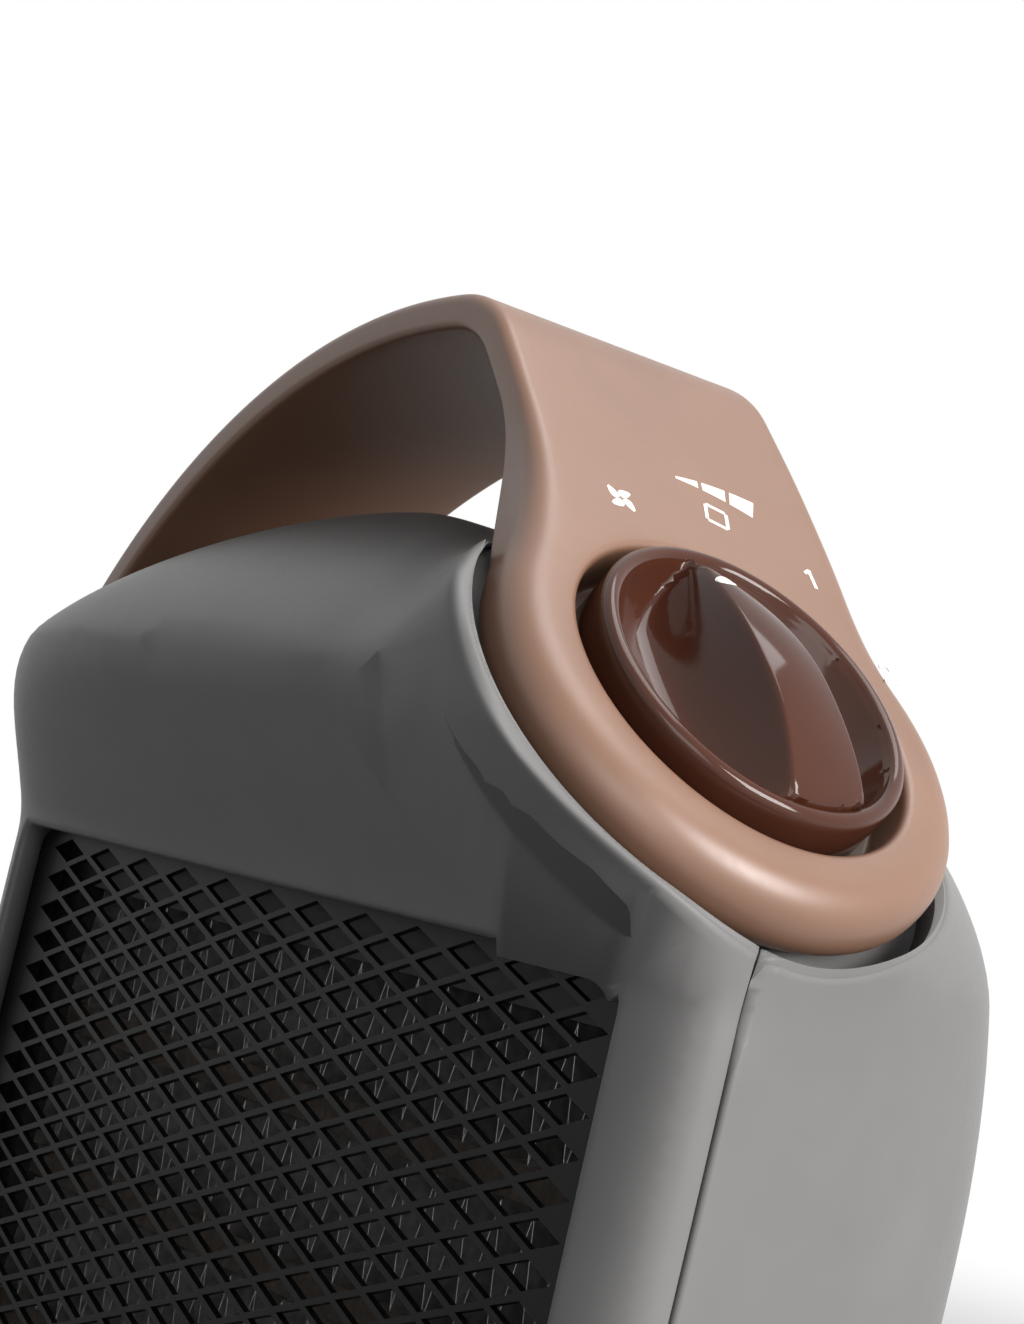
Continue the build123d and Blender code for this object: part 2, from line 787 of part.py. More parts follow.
with BuildPart() as motor_body:
    add(along_y(0, fan_z, motor_radius, motor_y, motor_y + motor_length))
    fillet(motor_body.edges().filter_by(GeomType.CIRCLE), 1.5)
    cap_y = motor_y + motor_length
    add(along_y(0, fan_z, motor_cap_radius, cap_y, cap_y + motor_cap_length))
    add(along_y(0, fan_z, motor_shaft_radius + running_gap, motor_y - 1, motor_y + motor_length + loose_gap),
        mode=Mode.SUBTRACT)
finish(motor_body, "motor_body")

# Thermal cutout on the duct's roof
duct_roof = fan_z + opening_height / 2 + duct_wall
with BuildPart() as thermal_cutout:
    with BuildSketch(Plane.XY.offset(duct_roof)):
        with Locations((cutout_x, duct_y + duct_depth / 2)):
            RectangleRounded(cutout_plate_length, cutout_plate_width, 2)
    extrude(amount=cutout_plate)
    add(along_z(cutout_x, duct_y + duct_depth / 2, cutout_radius, duct_roof + cutout_plate / 2,
                duct_roof + cutout_height))
finish(thermal_cutout, "thermal_cutout")

# Base tray below both shells
with BuildPart() as base:
    for behind in (False, True):
        with BuildPart(mode=Mode.PRIVATE) as half_base:
            add(half_section(base_z, 0, behind, 0))
            add(half_section(shell_z, 0, behind, 0))
            loft()
        add(half_base.part)
    with BuildPart(mode=Mode.PRIVATE) as base_hollow:
        for behind in (False, True):
            with BuildPart(mode=Mode.PRIVATE) as half_hollow:
                add(half_section(floor_z, wall, behind, 0))
                add(half_section(shell_z, wall, behind, 0))
                loft()
            add(half_hollow.part)
    add(base_hollow.part, mode=Mode.SUBTRACT)
    add(along_z(tip_x, tip_y, plunger_radius + loose_gap, base_z - 1, floor_z + 1), mode=Mode.SUBTRACT)
    for x in (-base_screw_x, base_screw_x):
        for side in (-1, 1):
            y = base_post_y(side)
            add(along_z(x, y, base_post_radius, base_z, shell_z))
            add(along_z(x, y, screw_radius + loose_gap, base_z - 1, shell_z + 1), mode=Mode.SUBTRACT)
            add(along_z(x, y, screw_head_radius + loose_gap, base_z - 1, base_z + screw_head_height),
                mode=Mode.SUBTRACT)
finish(base, "base")

with BuildPart() as rubber_feet:
    front_y = front_wall_y(front_foot_x + foot_radius, base_z, foot_inset) + foot_radius
    rear_y = rear_wall_y(rear_foot_x + foot_radius, base_z, foot_inset) - foot_radius
    for x, y in ((front_foot_x, front_y), (rear_foot_x, rear_y)):
        add(along_z(x, y, foot_radius, 0, foot_height))
        add(along_z(-x, y, foot_radius, 0, foot_height))
    chamfer(rubber_feet.edges().group_by(Axis.Z)[0], 0.8)
finish(rubber_feet, "rubber_feet")

# Tip-over switch: a sprung plunger that the table holds up
spring_top = collar_z + collar_height + spring_length
with BuildPart() as tip_switch:
    with BuildSketch(Plane.XY.offset(floor_z)):
        with Locations((tip_x, tip_y)):
            RectangleRounded(tip_width, tip_width, 1.5)
    extrude(amount=tip_height)
    add(along_z(tip_x, tip_y, collar_radius + loose_gap, floor_z - 1, spring_top), mode=Mode.SUBTRACT)
    add(along_z(tip_x, tip_y, plunger_radius + loose_gap, floor_z - 1, floor_z + tip_height - tip_lid),
        mode=Mode.SUBTRACT)
finish(tip_switch, "tip_switch")

with BuildPart() as tip_plunger:
    add(along_z(tip_x, tip_y, plunger_radius, 0, plunger_length))
    add(along_z(tip_x, tip_y, collar_radius, collar_z, collar_z + collar_height))
    fillet(tip_plunger.edges().group_by(Axis.Z)[0], 1)
finish(tip_plunger, "tip_plunger")

coil_radius = (plunger_radius + collar_radius + loose_gap) / 2
coil_height = spring_length - spring_wire - 2 * running_gap
coil_z = collar_z + collar_height + running_gap + spring_wire / 2
with BuildPart() as plunger_spring:
    with BuildLine():
        coil = Helix(pitch=coil_height / spring_turns, height=coil_height, radius=coil_radius,
                     center=(tip_x, tip_y, coil_z))
    with BuildSketch(Plane(origin=coil @ 0, z_dir=coil % 0)):
        Circle(spring_wire / 2)
    sweep(is_frenet=True)
finish(plunger_spring, "plunger_spring")

# Mains inlet: gland, clamp and terminal block
with BuildPart() as cord_gland:
    gland_end_y = gland_y - gland_length + gland_flange_thickness
    add(along_y(0, gland_z, gland_bore + gland_wall, gland_end_y, gland_y))
    add(along_y(0, gland_z, gland_flange, gland_y, gland_y + gland_flange_thickness))
    fillet(cord_gland.edges().group_by(Axis.Y)[-1], 1)
    add(along_y(0, gland_z, gland_bore, gland_y - gland_length - 1, gland_y + gland_flange_thickness + 1),
        mode=Mode.SUBTRACT)
finish(cord_gland, "cord_gland")

clamp_y = gland_y - clamp_setback
with BuildPart() as cord_clamp:
    with BuildSketch(upright(clamp_y)):
        with Locations((0, floor_z + clamp_height / 2)):
            Rectangle(clamp_width, clamp_height)
        with Locations((0, floor_z + gland_bore - clamp_pinch)):
            Circle(gland_bore, mode=Mode.SUBTRACT)
    extrude(amount=clamp_depth)
finish(cord_clamp, "cord_clamp")

with BuildPart() as terminal_block:
    with BuildSketch(Plane.XY.offset(floor_z)):
        with Locations((terminal_x, terminal_y)):
            Rectangle(terminal_width, terminal_depth)
    extrude(amount=terminal_height)
    with BuildSketch(Plane.XY.offset(floor_z + terminal_height)):
        with Locations((terminal_x, terminal_y)):
            with GridLocations(terminal_width / terminal_ways, terminal_depth / 2, terminal_ways, 2):
                Circle(screw_radius)
    extrude(amount=-terminal_height / 2, mode=Mode.SUBTRACT)
finish(terminal_block, "terminal_block")

# Screws: shank and head on one axis, one node for each kind
with BuildPart() as shell_screws:
    head_y = seam_y + screw_length - screw_bite
    for x, z in post_spots:
        add(along_y(x, z, screw_radius, seam_y - screw_bite, head_y))
        add(along_y(x, z, screw_head_radius, head_y, head_y + screw_head_height))
finish(shell_screws, "shell_screws")

with BuildPart() as base_screws:
    for x in (-base_screw_x, base_screw_x):
        for side in (-1, 1):
            y = base_post_y(side)
            add(along_z(x, y, screw_radius, base_z + screw_head_height, shell_z + base_screw_length - 1))
            add(along_z(x, y, screw_head_radius, base_z + 0.5, base_z + screw_head_height))
finish(base_screws, "base_screws")

with BuildPart() as handle_screws:
    head_low = -dial_well_depth - small_head_height
    add(dial_bar(small_screw_radius, -tray_floor - handle_screw_bite, head_low, handle_screw_spots))
    add(dial_bar(small_head_radius, head_low, -dial_well_depth, handle_screw_spots))
finish(handle_screws, "handle_screws")

with BuildPart() as bracket_screws:
    add(dial_bar(small_screw_radius, switch_top, -tray_floor + wall, bracket_screw_spots))
    add(dial_bar(small_head_radius, switch_top - small_head_height, switch_top, bracket_screw_spots))
finish(bracket_screws, "bracket_screws")
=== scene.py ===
from math import sin, cos, pi, radians

import bpy
import bmesh
import numpy as np
from mathutils import Matrix, Vector
from mathutils.geometry import delaunay_2d_cdt


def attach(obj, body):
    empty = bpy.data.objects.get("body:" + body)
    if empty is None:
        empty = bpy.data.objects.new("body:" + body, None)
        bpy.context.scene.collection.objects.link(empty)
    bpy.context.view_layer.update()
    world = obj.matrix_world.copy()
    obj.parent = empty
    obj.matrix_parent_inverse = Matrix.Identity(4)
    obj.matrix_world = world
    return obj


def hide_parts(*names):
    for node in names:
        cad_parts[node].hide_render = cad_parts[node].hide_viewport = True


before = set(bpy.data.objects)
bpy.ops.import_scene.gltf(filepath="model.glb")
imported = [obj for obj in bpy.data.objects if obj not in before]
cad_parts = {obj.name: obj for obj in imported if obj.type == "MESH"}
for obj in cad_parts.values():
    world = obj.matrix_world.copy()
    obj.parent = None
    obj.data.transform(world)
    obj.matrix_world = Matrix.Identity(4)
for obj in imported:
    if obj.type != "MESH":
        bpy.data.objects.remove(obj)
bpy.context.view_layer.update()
scene = bpy.context.scene
mm = 0.001  # lengths below are in millimetres unless a note says metres
print("frame loaded:", len(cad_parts), "nodes")

# camera, in metres and degrees
cameraSet = {
    "place": (0.37218, -0.24742, 0.15309), "azimuth": 56.8, "elevation": -5.0, "roll": 13.2,
    "focalPixels": 2850.0, "imageHeight": 1324.0, "sensor": 36.0,
}


def makeCamera(s):
    a, e, r = radians(s["azimuth"]), radians(s["elevation"]), radians(s["roll"])
    right = Vector((cos(a), sin(a), 0))
    back = Vector((sin(a) * cos(e), -cos(a) * cos(e), sin(e)))
    up = back.cross(right)
    across = right * cos(r) + up * sin(r)
    above = up * cos(r) - right * sin(r)
    data = bpy.data.cameras.new("camera")
    data.sensor_width = s["sensor"]
    data.lens = s["focalPixels"] / s["imageHeight"] * s["sensor"]
    data.clip_start = 0.01
    camera = bpy.data.objects.new("camera", data)
    turn = Matrix((across, above, back)).transposed().to_4x4()
    camera.matrix_world = Matrix.Translation(s["place"]) @ turn
    scene.collection.objects.link(camera)
    scene.camera = camera


makeCamera(cameraSet)
scene.view_settings.view_transform = "Standard"


# materials

def newMaterial(name):
    material = bpy.data.materials.new(name)
    material.use_nodes = True
    nodes = material.node_tree.nodes
    return material, nodes, material.node_tree.links, nodes["Principled BSDF"]


def addNode(nodes, kind, **values):
    node = nodes.new(kind)
    for key, value in values.items():
        if key in node.inputs.keys():
            node.inputs[key].default_value = value
        else:
            setattr(node, key, value)
    return node


def rampOf(nodes, stops):
    ramp = nodes.new("ShaderNodeValToRGB")
    ramp.color_ramp.elements[0].position, ramp.color_ramp.elements[0].color = stops[0]
    ramp.color_ramp.elements[1].position, ramp.color_ramp.elements[1].color = stops[-1]
    for place, colour in stops[1:-1]:
        ramp.color_ramp.elements.new(place).color = colour
    return ramp


def grained(nodes, links, shader, tint, grain, stops, rough, bump, depth):
    # colour drifts with one pattern, roughness and relief follow another
    ramp = rampOf(nodes, stops)
    links.new(tint.outputs["Fac"], ramp.inputs["Fac"])
    links.new(ramp.outputs["Color"], shader.inputs["Base Color"])
    spread = addNode(nodes, "ShaderNodeMapRange")
    spread.inputs["To Min"].default_value, spread.inputs["To Max"].default_value = rough
    links.new(grain.outputs["Fac"], spread.inputs["Value"])
    links.new(spread.outputs["Result"], shader.inputs["Roughness"])
    relief = addNode(nodes, "ShaderNodeBump", Strength=bump, Distance=depth)
    links.new(grain.outputs["Fac"], relief.inputs["Height"])
    links.new(relief.outputs["Normal"], shader.inputs["Normal"])


# pattern scales are per metre, relief depths in metres
materialSet = {
    "plasticPatch": 30.0, "plasticGrain": 900.0, "plasticDepth": 0.00004, "plasticStops": (0.35, 0.65),
    "metalStretch": (20.0, 600.0, 600.0), "metalDepth": 0.00003, "metalStops": (0.3, 0.7),
    "blotch": 260.0, "cells": 420.0, "cellDepth": 0.0004, "ceramicRough": 0.85,
    "ceramicStops": [(0.3, (0.012, 0.009, 0.007, 1)), (0.55, (0.05, 0.038, 0.03, 1)),
                     (0.75, (0.13, 0.11, 0.095, 1))],
}


def mouldedPlastic(name, tones, rough=(0.4, 0.5), patch=materialSet["plasticPatch"],
                   grain=materialSet["plasticGrain"], bump=0.05, specular=0.5):
    # tones: two linear colours that the surface drifts between, under a fine moulded grain
    material, nodes, links, shader = newMaterial(name)
    place = nodes.new("ShaderNodeTexCoord")
    drift = addNode(nodes, "ShaderNodeTexNoise", Scale=patch, Detail=3.0, Roughness=0.55)
    fine = addNode(nodes, "ShaderNodeTexNoise", Scale=grain, Detail=2.0)
    links.new(place.outputs["Object"], drift.inputs["Vector"])
    links.new(place.outputs["Object"], fine.inputs["Vector"])
    stops = [(spot, (*tone, 1)) for spot, tone in zip(materialSet["plasticStops"], tones)]
    grained(nodes, links, shader, drift, fine, stops, rough, bump, materialSet["plasticDepth"])
    shader.inputs["Specular IOR Level"].default_value = specular
    return material


def drawnMetal(name, tones, rough=(0.3, 0.45)):
    # streaks along x, as drawn or rolled metal has
    material, nodes, links, shader = newMaterial(name)
    place = nodes.new("ShaderNodeTexCoord")
    mapping = addNode(nodes, "ShaderNodeMapping")
    mapping.inputs["Scale"].default_value = materialSet["metalStretch"]
    streak = addNode(nodes, "ShaderNodeTexNoise", Scale=1.0, Detail=4.0)
    links.new(place.outputs["Object"], mapping.inputs["Vector"])
    links.new(mapping.outputs["Vector"], streak.inputs["Vector"])
    stops = [(spot, (*tone, 1)) for spot, tone in zip(materialSet["metalStops"], tones)]
    grained(nodes, links, shader, streak, streak, stops, rough, 0.06, materialSet["metalDepth"])
    shader.inputs["Metallic"].default_value = 1.0
    return material


def ceramicBlock(name):
    material, nodes, links, shader = newMaterial(name)
    place = nodes.new("ShaderNodeTexCoord")
    blotch = addNode(nodes, "ShaderNodeTexNoise", Scale=materialSet["blotch"], Detail=5.0, Roughness=0.7)
    cell = addNode(nodes, "ShaderNodeTexVoronoi", Scale=materialSet["cells"])
    links.new(place.outputs["Object"], blotch.inputs["Vector"])
    links.new(place.outputs["Object"], cell.inputs["Vector"])
    ramp = rampOf(nodes, materialSet["ceramicStops"])
    links.new(blotch.outputs["Fac"], ramp.inputs["Fac"])
    links.new(ramp.outputs["Color"], shader.inputs["Base Color"])
    relief = addNode(nodes, "ShaderNodeBump", Strength=0.5, Distance=materialSet["cellDepth"])
    links.new(cell.outputs["Distance"], relief.inputs["Height"])
    links.new(relief.outputs["Normal"], shader.inputs["Normal"])
    shader.inputs["Roughness"].default_value = materialSet["ceramicRough"]
    return material


finishes = {
    "bronze": mouldedPlastic("bronzeSatin", ((0.200, 0.106, 0.068), (0.226, 0.120, 0.078)), (0.36, 0.46),
                             specular=0.70),
    "knob": mouldedPlastic("knobGloss", ((0.058, 0.018, 0.010), (0.070, 0.023, 0.013)), (0.08, 0.12),
                           bump=0.01, specular=0.30),
    "shell": mouldedPlastic("shellGrey", ((0.170, 0.168, 0.168), (0.190, 0.188, 0.188)), (0.38, 0.48),
                            specular=0.18),
    "blackMetal": mouldedPlastic("meshBlack", ((0.003, 0.003, 0.003), (0.006, 0.006, 0.006)), (0.30, 0.42),
                                 patch=200.0, bump=0.15, specular=0.10),
    "blackPlastic": mouldedPlastic("innerBlack", ((0.012, 0.012, 0.012), (0.020, 0.020, 0.020)), (0.55, 0.7)),
    "base": mouldedPlastic("baseBlack", ((0.022, 0.022, 0.023), (0.032, 0.032, 0.033))),
    "rubber": mouldedPlastic("footRubber", ((0.012, 0.012, 0.012), (0.022, 0.022, 0.022)), (0.75, 0.9),
                             grain=500.0, bump=0.2),
    "white": mouldedPlastic("whitePlastic", ((0.66, 0.65, 0.61), (0.74, 0.73, 0.70)), (0.35, 0.45)),
    "mark": mouldedPlastic("markWhite", ((0.86, 0.84, 0.80), (0.92, 0.90, 0.86))),
    "steel": drawnMetal("steel", ((0.50, 0.50, 0.52), (0.66, 0.66, 0.68))),
    "aluminium": drawnMetal("finAluminium", ((0.50, 0.50, 0.50), (0.70, 0.70, 0.70))),
    "motor": drawnMetal("motorSteel", ((0.26, 0.27, 0.28), (0.36, 0.37, 0.38)), (0.35, 0.5)),
    "ceramic": ceramicBlock("ceramic"),
}

# which carried-over nodes wear each finish
finishNodes = {
    "shell": ("front_shell", "rear_shell"), "bronze": ("handle",), "knob": ("dial_knob",),
    "blackMetal": ("mesh_grille",), "ceramic": ("heating_bars",), "aluminium": ("radiator_fins",),
    "motor": ("motor_body",), "base": ("base",), "rubber": ("rubber_feet", "cord_gland"),
    "white": ("tip_plunger", "terminal_block", "switch_shaft"),
    "blackPlastic": ("grille_frame", "element_frame", "fan_duct", "impeller", "motor_bracket",
                     "tip_switch", "cord_clamp", "switch_body"),
    "steel": ("motor_shaft", "thermal_cutout", "plunger_spring", "switch_bracket", "shell_screws",
              "base_screws", "handle_screws", "bracket_screws"),
}
for finishName, nodeNames in finishNodes.items():
    for nodeName in nodeNames:
        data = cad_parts[nodeName].data
        data.materials.clear()
        data.materials.append(finishes[finishName])
print("materials made:", len(finishes))


# mesh helpers

def makePiece(name, verts, faces, finish, body, nodes=(), sharp=35.0, normals=None):
    mesh = bpy.data.meshes.new(name)
    mesh.from_pydata([tuple(v) for v in np.asarray(verts) * mm], [], [tuple(f) for f in faces])
    mesh.validate()
    exact = {}
    if normals is not None:
        exact = {tuple(np.round(v, 4)): n for v, n in zip(verts, normals) if n is not None}
    form = bmesh.new()
    form.from_mesh(mesh)
    bmesh.ops.remove_doubles(form, verts=form.verts, dist=1e-6)
    bmesh.ops.recalc_face_normals(form, faces=form.faces)
    for face in form.faces:
        face.smooth = True
    for edge in form.edges:
        if len(edge.link_faces) == 2:
            edge.smooth = edge.calc_face_angle(0.0) < radians(sharp)
    form.to_mesh(mesh)
    form.free()
    if exact:  # a zero normal leaves the one that Blender works out
        given = [exact.get(tuple(np.round(np.array(v.co) / mm, 4)), (0, 0, 0)) for v in mesh.vertices]
        print("  exact normals:", sum(1 for g in given if any(g)), "of", len(given))
        mesh.normals_split_custom_set_from_vertices([tuple(g) for g in given])
    mesh.materials.append(finish)
    piece = bpy.data.objects.new(name, mesh)
    scene.collection.objects.link(piece)
    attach(piece, body)
    if nodes:
        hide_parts(*nodes)
    return piece


def insideLoop(points, loop):
    # even-odd test of many points against one closed loop
    x, y = points[:, 0:1], points[:, 1:2]
    ax, ay = loop[:, 0], loop[:, 1]
    bx, by = np.roll(ax, -1), np.roll(ay, -1)
    straddles = (ay > y) != (by > y)
    slope = np.where(by == ay, 1e-12, by - ay)
    return (np.sum(straddles & (x < (bx - ax) * (y - ay) / slope + ax), axis=1) % 2).astype(bool)


def insideLoops(points, loops):
    inside = np.zeros(len(points), bool)
    for start in range(0, len(points), 4000):
        part = points[start:start + 4000]
        test = insideLoop(part, loops[0])
        for hole in loops[1:]:
            test &= ~insideLoop(part, hole)
        inside[start:start + 4000] = test
    return inside


def nearest(points, targets):
    # for each point, the distance to the nearest target and its number
    gaps, numbers = np.zeros(len(points)), np.zeros(len(points), int)
    for start in range(0, len(points), 2000):
        part = points[start:start + 2000]
        squares = ((part[:, None, :] - targets[None, :, :]) ** 2).sum(2)
        gaps[start:start + 2000], numbers[start:start + 2000] = np.sqrt(squares.min(1)), squares.argmin(1)
    return gaps, numbers


def fillLoops(loops, extra):
    # triangles over the region inside loops[0] and outside the other loops, through the extra points
    corners = np.vstack(loops + [extra])
    edges, start = [], 0
    for loop in loops:
        count = len(loop)
        edges += [(start + i, start + (i + 1) % count) for i in range(count)]
        start += count
    flat = [Vector(p) for p in corners.tolist()]
    out, _, faces, origins, _, _ = delaunay_2d_cdt(flat, edges, [], 0, 1e-7, True)
    index = [o[0] if o else -1 for o in origins]
    if min(index) < 0:
        print("  note: loops cross at", sum(1 for i in index if i < 0), "places")
        fresh = [Vector(out[k]) for k, i in enumerate(index) if i < 0]
        base = len(corners)
        corners = np.vstack([corners, np.array([tuple(p) for p in fresh])])
        number = iter(range(base, base + len(fresh)))
        index = [i if i >= 0 else next(number) for i in index]
    tris = np.array([[index[k] for k in f] for f in faces if len(f) == 3])
    keep = insideLoops(corners[tris].mean(1), loops)
    return corners, tris[keep]


def resample(points, step, closed=False):
    points = np.asarray(points, float)
    if closed:
        points = np.vstack([points, points[:1]])
    run = np.concatenate([[0], np.cumsum(np.linalg.norm(np.diff(points, axis=0), axis=1))])
    count = max(2, int(round(run[-1] / step)))
    spots = np.linspace(0, run[-1], count + 1)
    out = np.stack([np.interp(spots, run, points[:, k]) for k in range(points.shape[1])], 1)
    return out[:-1] if closed else out


def inwardNormals(loop):
    # unit normals of a counter-clockwise loop, towards its inside
    along = np.roll(loop, -1, 0) - np.roll(loop, 1, 0)
    along /= np.maximum(np.linalg.norm(along, axis=1, keepdims=True), 1e-9)
    return np.stack([-along[:, 1], along[:, 0]], 1)


def hexGrid(low, high, step):
    xs = np.arange(low[0], high[0], step)
    ys = np.arange(low[1], high[1], step * 0.866)
    return np.array([(x + (step / 2 if j % 2 else 0), y) for j, y in enumerate(ys) for x in xs])


def strip(first, second):
    # quads between two closed rows of vertex numbers
    count = len(first)
    return [(first[i], first[(i + 1) % count], second[(i + 1) % count], second[i]) for i in range(count)]


def addRow(verts, faces, previous, points):
    # one more closed row of points, joined to the row before it
    row = list(range(len(verts), len(verts) + len(points)))
    verts += list(points)
    faces += strip(previous, row)
    return row


# the dial's place and directions

dialSet = {"x": 80.4, "y": -19.9, "z": 188.3, "tilt": 44.3, "padRadius": 36.0, "wellRadius": 26.2,
           "wellDepth": 8.0, "offAngle": 10.0, "shaftHole": 3.3}
dialCentre = np.array([dialSet["x"], dialSet["y"], dialSet["z"]])
dialAxis = np.array([sin(radians(dialSet["tilt"])), 0.0, cos(radians(dialSet["tilt"]))])
strapUp = np.array([-dialAxis[2], 0.0, dialAxis[0]])
depthAxis = np.array([0.0, 1.0, 0.0])


def onDial(q, y, lift=0.0):
    # q runs up the strap, y to the back, lift along the dial's axis
    q, y, lift = np.broadcast_arrays(np.asarray(q, float), np.asarray(y, float), np.asarray(lift, float))
    return dialCentre + q[..., None] * strapUp + y[..., None] * depthAxis + lift[..., None] * dialAxis


# handle: one strap from the pad over the crest to the left shoulder

strapSet = {
    "run": 66.0, "crestX": 19.0, "crestZ": 240.0, "archRadius": 121.0, "endZ": 173.0, "start": -45.0,
    "thickness": 5.5, "padThickness": 12.0, "heelStart": 26.0, "heelEnd": 56.0,
    "frontHalf": 20.0, "backHalf": 30.0,
    # where the pad's circle ends, and places along the strap with its half width and slope there
    "frontJoin": 18.0, "frontNeck": (50.0, 20.9, -0.08), "frontTail": 76.0,
    "backJoin": 12.0, "backNeck": (36.0, 31.6, -0.05), "backTail": 66.0, "backSlope": -0.06,
    "tailTaper": 0.074,
    # edge rounding on the pad and the strap, and the span over which it changes
    "padEdge": 5.5, "strapEdge": 1.9, "edgeSpan": (8.0, 58.0), "padUnder": 5.2, "underEdge": 1.2,
    "underSpan": (8.0, 40.0), "tailEdge": 0.6, "wellEdge": 1.3, "wellCorner": 0.8,
    "step": 1.3, "topGrid": 2.6, "underGrid": 3.4,
}


def hermiteShares(t):
    return 2 * t ** 3 - 3 * t ** 2 + 1, t ** 3 - 2 * t ** 2 + t, 3 * t ** 2 - 2 * t ** 3, t ** 3 - t ** 2


def hermite(s, start, end):
    # start and end: place, value and slope
    (s0, v0, m0), (s1, v1, m1) = start, end
    w = s1 - s0
    a, b, c, d = hermiteShares(np.clip((s - s0) / w, 0, 1))
    return a * v0 + b * w * m0 + c * v1 + d * w * m1


def smoothStep(value, low, high):
    t = np.clip((np.asarray(value, float) - low) / (high - low), 0, 1)
    return t * t * (3 - 2 * t)


def strapTable(s):
    # the outer face's line in x and z: straight up from the dial, a bend to the crest, then the arch
    up = np.array([strapUp[0], strapUp[2]])
    bend = np.array([dialSet["x"], dialSet["z"]]) + s["run"] * up
    crest = np.array([s["crestX"], s["crestZ"]])
    chord = np.linalg.norm(crest - bend)
    line = [np.array([dialSet["x"], dialSet["z"]]) + q * up for q in np.linspace(s["start"], s["run"], 200)]
    a, b, c, d = hermiteShares(np.linspace(0, 1, 60)[1:, None])
    turn = a * bend + b * chord * up + c * crest + d * chord * np.array([-1.0, 0.0])
    middle = s["crestZ"] - s["archRadius"]
    swing = np.linspace(0, np.arccos((s["endZ"] - middle) / s["archRadius"]), 300)[1:]
    arch = np.stack([s["crestX"] - s["archRadius"] * np.sin(swing),
                     middle + s["archRadius"] * np.cos(swing)], 1)
    path = np.vstack([line, turn, arch])
    run = np.concatenate([[0], np.cumsum(np.linalg.norm(np.diff(path, axis=0), axis=1))]) + s["start"]
    along = np.gradient(path, run, axis=0)
    for k in range(2):
        along[4:-4, k] = np.convolve(along[:, k], np.ones(9) / 9, "valid")
    return run, path, along / np.linalg.norm(along, axis=1, keepdims=True)


strapRun, strapPath, strapAlong = strapTable(strapSet)
strapEnd = strapRun[-1]


def onStrap(s, y, depth=0.0):
    # s along the strap from the dial's centre, y to the back, depth below the outer face
    s = np.asarray(s, float)
    x, z = (np.interp(s, strapRun, strapPath[:, k]) for k in range(2))
    ax, az = (np.interp(s, strapRun, strapAlong[:, k]) for k in range(2))
    size = np.hypot(ax, az)
    depth = np.broadcast_to(depth, s.shape)
    y = dialSet["y"] + np.broadcast_to(y, s.shape)
    return np.stack([x - az / size * depth, y, z + ax / size * depth], -1)


def padHalf(s, join):
    # half width of the pad's circle, held beyond the join, and the flare's start there
    radius = dialSet["padRadius"]
    width = np.sqrt(radius ** 2 - join ** 2)
    return np.sqrt(np.maximum(radius ** 2 - np.minimum(s, join) ** 2, 0)), (join, width, -join / width)


def frontHalf(s):
    c = strapSet
    disc, start = padHalf(s, c["frontJoin"])
    flare = hermite(s, start, c["frontNeck"])
    tail = hermite(s, c["frontNeck"], (c["frontTail"], c["frontHalf"], 0.0))
    return np.where(s < c["frontJoin"], disc, np.where(s < c["frontNeck"][0], flare, tail))


def backHalf(s):
    c = strapSet
    disc, start = padHalf(s, c["backJoin"])
    flare = hermite(s, start, c["backNeck"])
    straight = hermite(s, c["backNeck"], (c["backTail"], c["backHalf"], c["backSlope"]))
    x = np.interp(s, strapRun, strapPath[:, 0])
    tail = c["backHalf"] - (dialSet["x"] + c["run"] * strapUp[0] - x) * c["tailTaper"]
    return np.where(s < c["backJoin"], disc,
                    np.where(s < c["backNeck"][0], flare, np.where(s < c["backTail"], straight, tail)))


def handleOutline(step):
    # counter-clockwise in the (s, y) plane
    radius, front, back = dialSet["padRadius"], strapSet["frontJoin"], strapSet["backJoin"]
    s = np.linspace(strapEnd, front, 400)
    frontSide = np.stack([s, -frontHalf(s)], 1)
    start = np.arctan2(-np.sqrt(radius ** 2 - front ** 2), front)
    end = np.arctan2(np.sqrt(radius ** 2 - back ** 2), back) - 2 * pi
    turn = np.linspace(start, end, 300)[1:-1]
    disc = np.stack([radius * np.cos(turn), radius * np.sin(turn)], 1)
    s = np.linspace(back, strapEnd, 400)
    outline = np.vstack([frontSide, disc, np.stack([s, backHalf(s)], 1)])[::-1]
    return resample(outline, step, closed=True)


def strapThickness(s):
    c = strapSet
    return c["padThickness"] + (c["thickness"] - c["padThickness"]) * smoothStep(s, c["heelStart"], c["heelEnd"])


def roundRings(outline, normals, radius, count):
    # points on a rounded edge and their drops; a ring that folds over itself in a corner is thinned
    points, drops = [], []
    for a in np.linspace(0, pi / 2, count)[1:]:
        inset = radius * (1 - cos(a))
        ring = outline + normals * inset[:, None]
        clear = nearest(ring, outline)[0] > inset * 0.97
        points.append(ring[clear])
        drops.append((radius * (1 - sin(a)))[clear])
    return np.vstack(points), np.concatenate(drops)


def flatGrid(outline, inner, step, clear):
    # grid points inside a loop and outside the round hole about the dial
    grid = hexGrid(outline.min(0), outline.max(0), step)
    grid = grid[insideLoops(grid, [inner])]
    return grid[np.hypot(grid[:, 0], grid[:, 1]) > clear]


